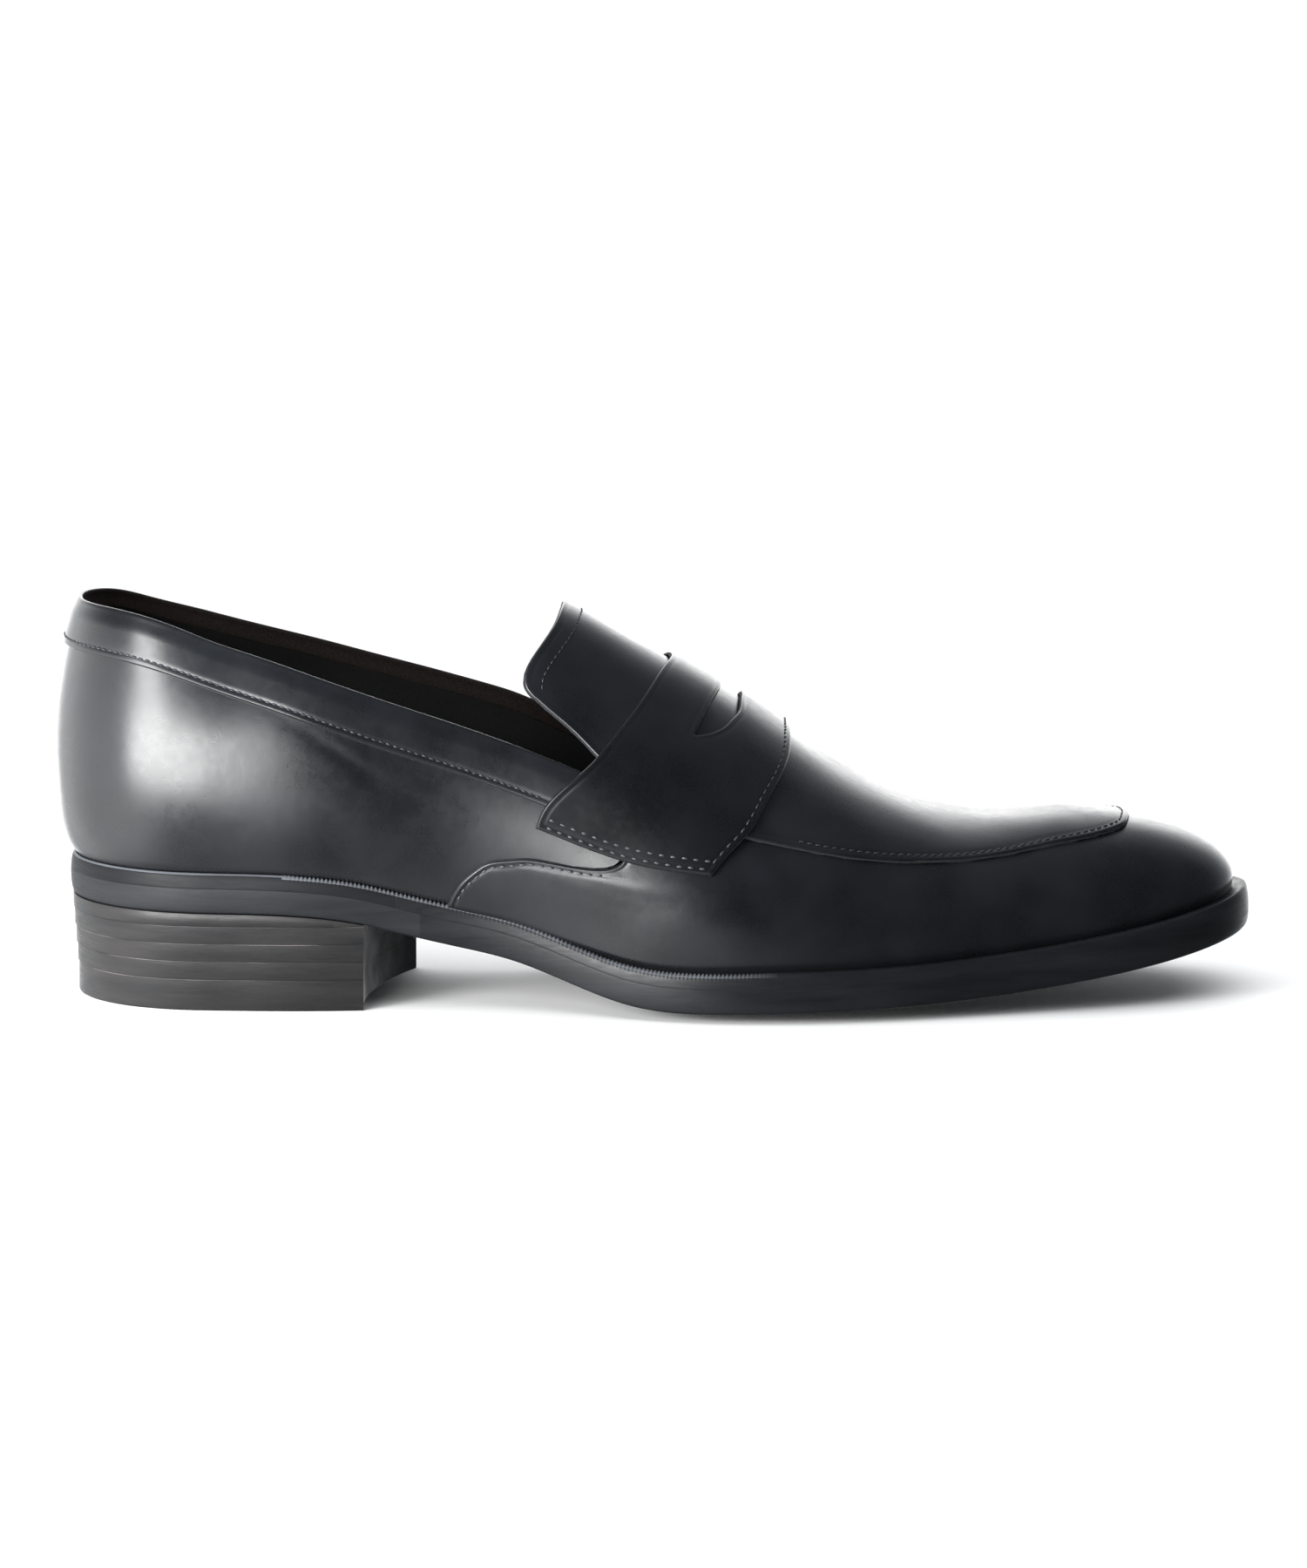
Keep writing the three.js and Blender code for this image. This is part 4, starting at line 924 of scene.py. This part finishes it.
def sock_piece():
    s = np.linspace(0.012, 0.985, 120)
    t = np.concatenate([[0, 0.01, 0.03, 0.06], np.linspace(0.1, 0.9, 30), [0.94, 0.97, 0.99, 1]])
    l, m = outline(s, -5.0 + 0 * s), outline(2 - s, -5.0 + 0 * s)
    P = lerp(l[:, None], m[:, None], t[None, :, None])
    crown = 0.8 * (1 - (2 * t[None] - 1) ** 8) + 1.2 * smooth(0.86, 1.0, np.abs(2 * t - 1))[None]
    z = layer_z(P[..., 0], P[..., 1], FEATHER + INSOLE_T + 0.6) + crown
    top = np.dstack([P, z[..., None]])
    low = top - [0, 0, SOCK_T]
    rows, cols = len(s), len(t)
    n = rows * cols
    faces = [grid_faces(rows, cols), grid_faces(rows, cols, n, True)]
    ring = [i * cols for i in range(rows)] + [(rows - 1) * cols + j for j in range(1, cols)]
    ring += [i * cols + cols - 1 for i in range(rows - 2, -1, -1)] + [j for j in range(cols - 2, 0, -1)]
    faces.append(np.array([(a, b, b + n, a + n) for a, b in zip(ring, ring[1:] + ring[:1])]))
    verts = np.concatenate([top.reshape(-1, 3), low.reshape(-1, 3)])
    return mesh_object("sock liner", verts, np.concatenate(faces), [SOCK])


put(sock_piece(), "lining", "sock_liner")


# ---------------------------------------------------------------- welt, rand and outsole
BREAST_LATERAL, BREAST_MEDIAL = -73.3, -61.0
RAND_LATERAL = float(x_to_u(BREAST_LATERAL + 8))
RAND_MEDIAL = float(x_to_u(BREAST_MEDIAL + 4))


def rim_points(w, grow, h):
    """Points round the sole at an offset from the feather line and a height over the tread."""
    xy = outline(w, grow)
    z = layer_z(xy[..., 0], xy[..., 1], h)
    return np.dstack([xy, z[..., None]]) if xy.ndim == 3 else np.concatenate([xy, z[..., None]], -1)


def path_lengths(w):
    p = outline(w, welt_width(station_of(w)))
    return np.concatenate([[0], np.cumsum(np.linalg.norm(np.diff(p, axis=0), axis=-1))])


WHEEL_PITCH, TOOTH_DEPTH, WELT_GAP = 1.05, 0.55, 0.00002
HEEL_BAND = -60  # X behind which the outsole's edge is finished like the heel


def welt_piece(name, w0, w1, count, edge):
    """Welt or rand along w0 to w1, its upper edge wheeled with fine teeth where the photo shows them."""
    w = np.linspace(w0, w1, count)
    x = u_to_x(fold(w)[1])
    tooth = 0.5 + 0.5 * np.cos(path_lengths(w) / WHEEL_PITCH * 2 * math.pi)
    strength = (1 - smooth(18, 34, x)) * smooth(-96, -86, x)
    depth = TOOTH_DEPTH * strength * tooth
    g = welt_width(station_of(w))
    top, low = WELT_TOP, OUTSOLE_T + 0.01
    # the section's corners: offset from the feather line, height over the tread
    sec = [(-7.0, low), (-7.0, top), (-1.0, top), (g * 0.5 - 0.9, top + 0.02),
           (g - 1.9, top + 0.04 - 0.2 * depth), (g - 1.45, top + 0.03 - depth), (g - 1.15, top - 0.06 - depth),
           (g - 0.9 - 0.3 * depth, top - 0.24 - 0.9 * depth), (g - 0.72 - 0.2 * depth, top - 0.5 - 0.6 * depth),
           (g - 0.55, top - 0.95 - 0.2 * depth), (g - 0.38, top - 1.6), (g - 0.24, top - 2.4),
           (g - 0.14, low + 0.5), (g - 0.09, low + 0.05), (g - 0.1, low)]
    grow, h = (np.stack([np.broadcast_to(s[k], w.shape) for s in sec], 1) for k in (0, 1))
    pts = rim_points(np.repeat(w[:, None], len(sec), 1), grow, h)
    rows = np.arange(len(sec))
    # Rows of the welt's top outer corner that take the painted highlight: the wheeled stretch, and the rounded corner
    # behind X 0.
    highlight_rows = np.where((strength > 0.1)[:, None], np.isin(rows, (5, 6, 7, 8)), np.isin(rows, (6, 7)) & (x < 0)[:, None])
    return sweep(name, pts, [edge, CREST_PAINTED_HIGHLIGHT], highlight_rows.astype(int))


welt = welt_piece("welt", RAND_LATERAL + WELT_GAP, 2 - RAND_MEDIAL - WELT_GAP, 1900, SOLE)
put(welt, "sole_edge", "welt")
put(welt_piece("heel seat rand", -RAND_MEDIAL, RAND_LATERAL, 900, RAND_EDGE), "sole_edge", "heel_seat_rand")


def outsole_piece():
    """Outsole: a closed wall round the edge, and strips between its two sides for the tread and the upper face."""
    u = np.concatenate([np.linspace(0, 0.02, 8)[:-1], np.linspace(0.02, 0.98, 260), np.linspace(0.98, 1, 8)[1:]])
    w = np.concatenate([u, 2 - u[::-1][1:-1]])
    p = station_of(w)
    x = u_to_x(fold(w)[1])
    g = welt_width(p)
    heel = smooth(30, 22, p)
    prof = [(-0.12, OUTSOLE_T), (-0.08, OUTSOLE_T - 0.04), (-0.07, OUTSOLE_T - 0.2), (-0.04, OUTSOLE_T - 0.5),
            (0.0, OUTSOLE_T * 0.8), (0.03, OUTSOLE_T * 0.6), (0.0, OUTSOLE_T * 0.4), (-0.1, OUTSOLE_T * 0.22),
            (-0.25, 0.75), (-0.45, 0.35), (-0.75, 0.1), (-1.3, 0.0), (-3.0, 0.0)]
    grow = np.stack([g + d - heel * 0.35 * (1 - h / OUTSOLE_T) for d, h in prof], 1)
    h = np.stack([np.full(w.shape, hh) for _, hh in prof], 1)
    side = rim_points(np.repeat(w[:, None], len(prof), 1), grow, h)
    n, m = side.shape[:2]
    verts = [side.reshape(-1, 3)]
    faces, mats = [], []
    for i in range(n):
        for j in range(m - 1):
            k = (i + 1) % n
            faces.append((i * m + j, k * m + j, k * m + j + 1, i * m + j + 1))
            dark = x[i] < HEEL_BAND and 1 <= j <= 8
            mats.append(1 if dark else (2 if j >= 10 else 0))
    half = len(u)
    offset = n * m
    for ring, height, flip, mat in ((m - 1, 0.0, True, 2), (0, OUTSOLE_T, False, 0)):
        right = [0] + [n - i for i in range(1, half - 1)] + [half - 1]
        cols = 14
        G = lerp(side[:half, ring][:, None], side[right, ring][:, None], np.linspace(0, 1, cols)[None, :, None])
        G[..., 2] = layer_z(G[..., 0], G[..., 1], height)
        verts.append(G.reshape(-1, 3))
        faces += grid_faces(half, cols, offset, flip).tolist()
        mats += [mat] * ((half - 1) * (cols - 1))
        offset += half * cols
    return mesh_object("outsole", np.concatenate(verts), faces, [SOLE, SOLE_DARK, TREAD], mats)


put(outsole_piece(), "sole_edge", "outsole")


# ---------------------------------------------------------------- heel
AROUND, BREAST_HOLLOW, JOINT_LINE, WEDGE_TOP = 200, 4.0, 0.16, 26


def heel_plan(inset):
    w = np.linspace(float(x_to_u(BREAST_LATERAL)), -float(x_to_u(BREAST_MEDIAL)), AROUND)
    a = outline(w, welt_width(station_of(w)) - inset)
    t = np.linspace(0, 1, 40)[1:-1, None]
    b = lerp(a[-1], a[0], t)
    b[:, 0] -= 4 * BREAST_HOLLOW * (t * (1 - t))[:, 0]
    return np.concatenate([a, b])


def ring_layer(name, inset, low, high, low_round, high_round, line=True, top_cut=False):
    """A lift: its outline at several heights, closed by flat caps. line: a thin light joint line along its top;
    top_cut: the top follows the sole's underside."""
    levels = [(low_round, low), (low_round * 0.3, low + low_round * 0.4), (0, low + low_round),
              (0, high - high_round - JOINT_LINE * line)]
    if line:
        levels.append((0.0, high - high_round))
    levels += [(high_round * 0.3, high - high_round * 0.4), (high_round, high)]
    rings = []
    for d, z in levels:
        plan = heel_plan(inset + d)
        zz = np.full(len(plan), float(z))
        if top_cut:
            under = layer_z(plan[:, 0], plan[:, 1], -0.05)
            zz = low + (z - low) / (high - low) * (under - low)
        rings.append(np.column_stack([plan, zz]))
    n = len(rings[0])
    verts = np.concatenate(rings)
    faces, mats = [], []
    for k in range(len(rings) - 1):
        for i in range(n):
            j = (i + 1) % n
            faces.append((k * n + i, k * n + j, (k + 1) * n + j, (k + 1) * n + i))
            # Faces across the breast take the breast material with its painted shade.
            mats.append(2 if i >= AROUND - 1 else int(line and k == 3))
    faces += [tuple(range(n)), tuple(range((len(rings) - 1) * n, len(rings) * n))]
    mats += [0, 0]
    return mesh_object(name, verts, faces, [HEEL, HEEL_LINE, BREAST_PAINTED_SHADE], mats, weld=0)


HEEL_LEVELS = [0, 8.0, 12.7, 17.3, 21.85]
put(ring_layer("heel top piece", 2.0, 0, 8.05, 0.5, 0.1), "rubber", "heel_top_piece")
for k in range(3):
    low, high = HEEL_LEVELS[k + 1] + 0.1, HEEL_LEVELS[k + 2] + 0.05
    put(ring_layer(f"heel lift {3 - k}", 1.7 - 0.35 * k, low, high, 0.08, 0.08), "heel_leather", f"heel_lift_{3 - k}")
wedge = ring_layer("heel wedge lift", 0.65, HEEL_LEVELS[4] + 0.1, WEDGE_TOP, 0.08, 0.05, False, True)
put(wedge, "heel_leather", "heel_wedge_lift")


# ---------------------------------------------------------------- stitching
def seam(name, w, a, h, cad, *bead, thread=DARK_THREAD):
    """A row of stitches; bead: their pitch, length, width and height."""
    put(stitches(name, np.asarray(w), np.asarray(a), h, *bead, thread), "thread", cad)


w = np.linspace(-float(x_to_u(-28.0)), float(x_to_u(-28.0)), 700)
a = band_share(w) + COLLAR_ROW / total(w)
seam("collar stitching", w, a, GAP * 0.4 + UPPER_T - 0.1, "collar_thread", 1.9, 1.45, 0.45, 0.3)

start = float(x_to_u(36.0))
w = np.linspace(start, 2 - start, 900)
a = apron_share(station_of(w)) + APRON_ROW / total(w)
seam("apron stitching", w, a, TONGUE_T, "apron_thread", 2.2, 1.6, 0.45, 0.3)


def crossing(edge, move, low):
    """A path over the ridge along an edge given by X over a, moved along X, from the share low to low."""
    t = np.linspace(0, 1, 400)
    a = 1 - np.abs(2 * t - 1) * (1 - low)
    u = x_to_u(edge(a) + move)
    return np.where(t < 0.5, u, 2 - u), a


w, a = crossing(lambda s: TONGUE_BACK + tongue_end(s), TONGUE_ROW, 0.63)
w = np.where(w > 1, 2 - x_to_u(TONGUE_BACK + tongue_shift(a, True) + TONGUE_ROW), w)
seam("tongue stitching", w, a, TONGUE_T + 0.07, "tongue_thread", 1.9, 1.4, 0.42, 0.28)


def strap_top(a):
    return strap_base(a) + STRAP_T - 0.06


w, a = crossing(strap_front, -STRAP_ROW, 0.30)
seam("strap front stitching", w, a, strap_top(a), "strap_front_thread", 2.6, 1.7, 0.5, 0.32)
# The strap's end rows and the vamp rows are stitched with the thread whose light tone is painted highlight.
for label, side in (("lateral", -1), ("medial", 1)):
    for k, rise in enumerate((0.015, 0.037)):
        row = STRAP_LOW + rise
        x = np.linspace(strap_back(row) + 1.9, strap_front(row) - 1.9, 200)
        a = np.full(200, row)
        seam(f"strap end stitching {label} {k + 1}", perimeter(side, x), a, strap_top(a),
             f"strap_end_thread_{label}_{k + 1}", 2.9, 1.5, 0.55, 0.36, thread=THREAD_PAINTED_HIGHLIGHT)
    a = np.linspace(0.03, 0.236, 300)
    x = vamp_back(a)
    w = perimeter(side, x)
    inward = np.cross(np.gradient(lifted(w, a, 0.0), axis=0), normal_at(w, a)) * -side
    inward *= ROW / np.linalg.norm(inward, axis=-1, keepdims=True)
    seam(f"vamp stitching {label}", perimeter(side, x + inward[:, 0]), a + inward[:, 2] / total(w), UPPER_T + 0.02,
         f"vamp_thread_{label}", 2.45, 1.5, 0.5, 0.34, thread=THREAD_PAINTED_HIGHLIGHT)

# ---------------------------------------------------------------- inner CAD nodes
INNER = {
    "cork_filler": granular("cork", (0.16, 0.08, 0.035), (0.42, 0.26, 0.12), 700.0, 0.95),
    "insole": granular("insole board", (0.22, 0.13, 0.07), (0.34, 0.22, 0.13), 300.0, 0.8),
    "toe_puff": STIFFENER,
}
steel, t, coord = material("shank steel")
wire(steel, {"Roughness": ramp(t, noise(t, coord, 900.0), [(0.3, 0.28), (0.7, 0.45)])},
     {"Base Color": (0.5, 0.52, 0.54, 1), "Metallic": 1.0})
for name in ["shank"] + [f"heel_nail_{k}" for k in range(1, 6)]:
    INNER[name] = steel
for name, mat in INNER.items():
    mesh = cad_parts[name].data
    mesh.materials.clear()
    mesh.materials.append(mat)

# ---------------------------------------------------------------- floor, light, camera
floor_mesh = bpy.data.meshes.new("floor")
bm = bmesh.new()
bmesh.ops.create_grid(bm, x_segments=2, y_segments=2, size=6)
bm.to_mesh(floor_mesh)
bm.free()
floor = placed("floor", floor_mesh)
floor_look = {"Base Color": (0.93, 0.93, 0.93, 1), "Roughness": 0.9, "Specular IOR Level": 0.1}
floor_mesh.materials.append(wire(material("floor")[0], {}, floor_look))


def area(name, place, aim, size, power):
    light = bpy.data.lights.new(name, "AREA")
    light.shape = "RECTANGLE"
    light.size, light.size_y = size
    light.energy = power
    obj = placed(name, light)
    obj.visible_camera = False
    obj.location = place
    obj.rotation_euler = (Vector(aim) - Vector(place)).to_track_quat("-Z", "Y").to_euler()
    return obj


low_box = area("softbox low at the heel", (-0.222, -0.205, 0.064), (-0.15, 0, 0.062), (0.225, 0.07), 1.05)
area("softbox over the heel", (-0.50, -0.48, 0.27), (-0.12, 0, 0.07), (0.24, 0.26), 3.6)
flagged = bpy.data.collections.new("flagged off from the low softbox")
flagged.objects.link(STRAP)
flagged.collection_objects[0].light_linking.link_state = "EXCLUDE"
low_box.light_linking.receiver_collection = flagged
over = bpy.data.lights.new("overhead", "SUN")
over.energy = 3.1
over.angle = math.radians(100)
over_object = placed("overhead", over)
over_object.rotation_euler = (math.radians(-8), 0, 0)
over_object.visible_glossy = False
floor.visible_glossy = False

# The studio is white behind the shoe, dim above it and behind the camera, with one wide softbox low on the left.
world = bpy.data.worlds.new("studio")
bpy.context.scene.world = world
world.use_nodes = True
t = world.node_tree
background = t.nodes["Background"]
coord = t.nodes.new("ShaderNodeTexCoord").outputs["Generated"]
X, Y, Z = node(t, "ShaderNodeSeparateXYZ", {"Vector": coord}).outputs


def window(value, start, full, level=1.0):
    n = node(t, "ShaderNodeMapRange", {0: value, 1: start, 2: full, 3: 0.0, 4: level}, interpolation_type="SMOOTHSTEP")
    return n.outputs[0]


behind = ramp(t, math_node(t, "ADD", math_node(t, "MULTIPLY", Y, 0.5), 0.5),
              [(0.0, (0.008, 0.0108, 0.0125)), (0.7, (0.012, 0.0145, 0.016)), (0.89, (0.088, 0.096, 0.101)),
               (0.95, (0.38, 0.385, 0.39)), (0.985, (0.66, 0.66, 0.66))])
left = math_node(t, "MULTIPLY", window(X, -0.35, -0.9, 0.45), window(Z, 0.5, 0.1))
low = math_node(t, "MULTIPLY", window(Z, 0.02, -0.22, 0.15), window(X, 0.25, -0.25))
pool = math_node(t, "ADD", left, math_node(t, "MULTIPLY", low, window(Y, 0.1, -0.4)))
both = node(t, "ShaderNodeMix", {0: 1.0, 6: behind, 7: pool}, data_type="RGBA", blend_type="ADD")
t.links.new(both.outputs[2], background.inputs["Color"])
background.inputs["Strength"].default_value = 5.0

camera = bpy.data.cameras.new("camera")
eye = placed("camera", camera)
bpy.context.scene.camera = eye
CAMERA_RISE, CAMERA_DISTANCE, VIEW_HEIGHT, SENSOR = math.radians(10), 3.2, 0.4, 24
aim = Vector((0.0, 0.0006, 0.0528))
eye.location = aim + Vector((0, -math.cos(CAMERA_RISE), math.sin(CAMERA_RISE))) * CAMERA_DISTANCE
eye.rotation_euler = (aim - eye.location).to_track_quat("-Z", "Y").to_euler()
camera.sensor_fit = "VERTICAL"
camera.sensor_height = SENSOR
camera.lens = SENSOR * CAMERA_DISTANCE / VIEW_HEIGHT
camera.clip_end = 50

bpy.context.scene.view_settings.view_transform = "Standard"
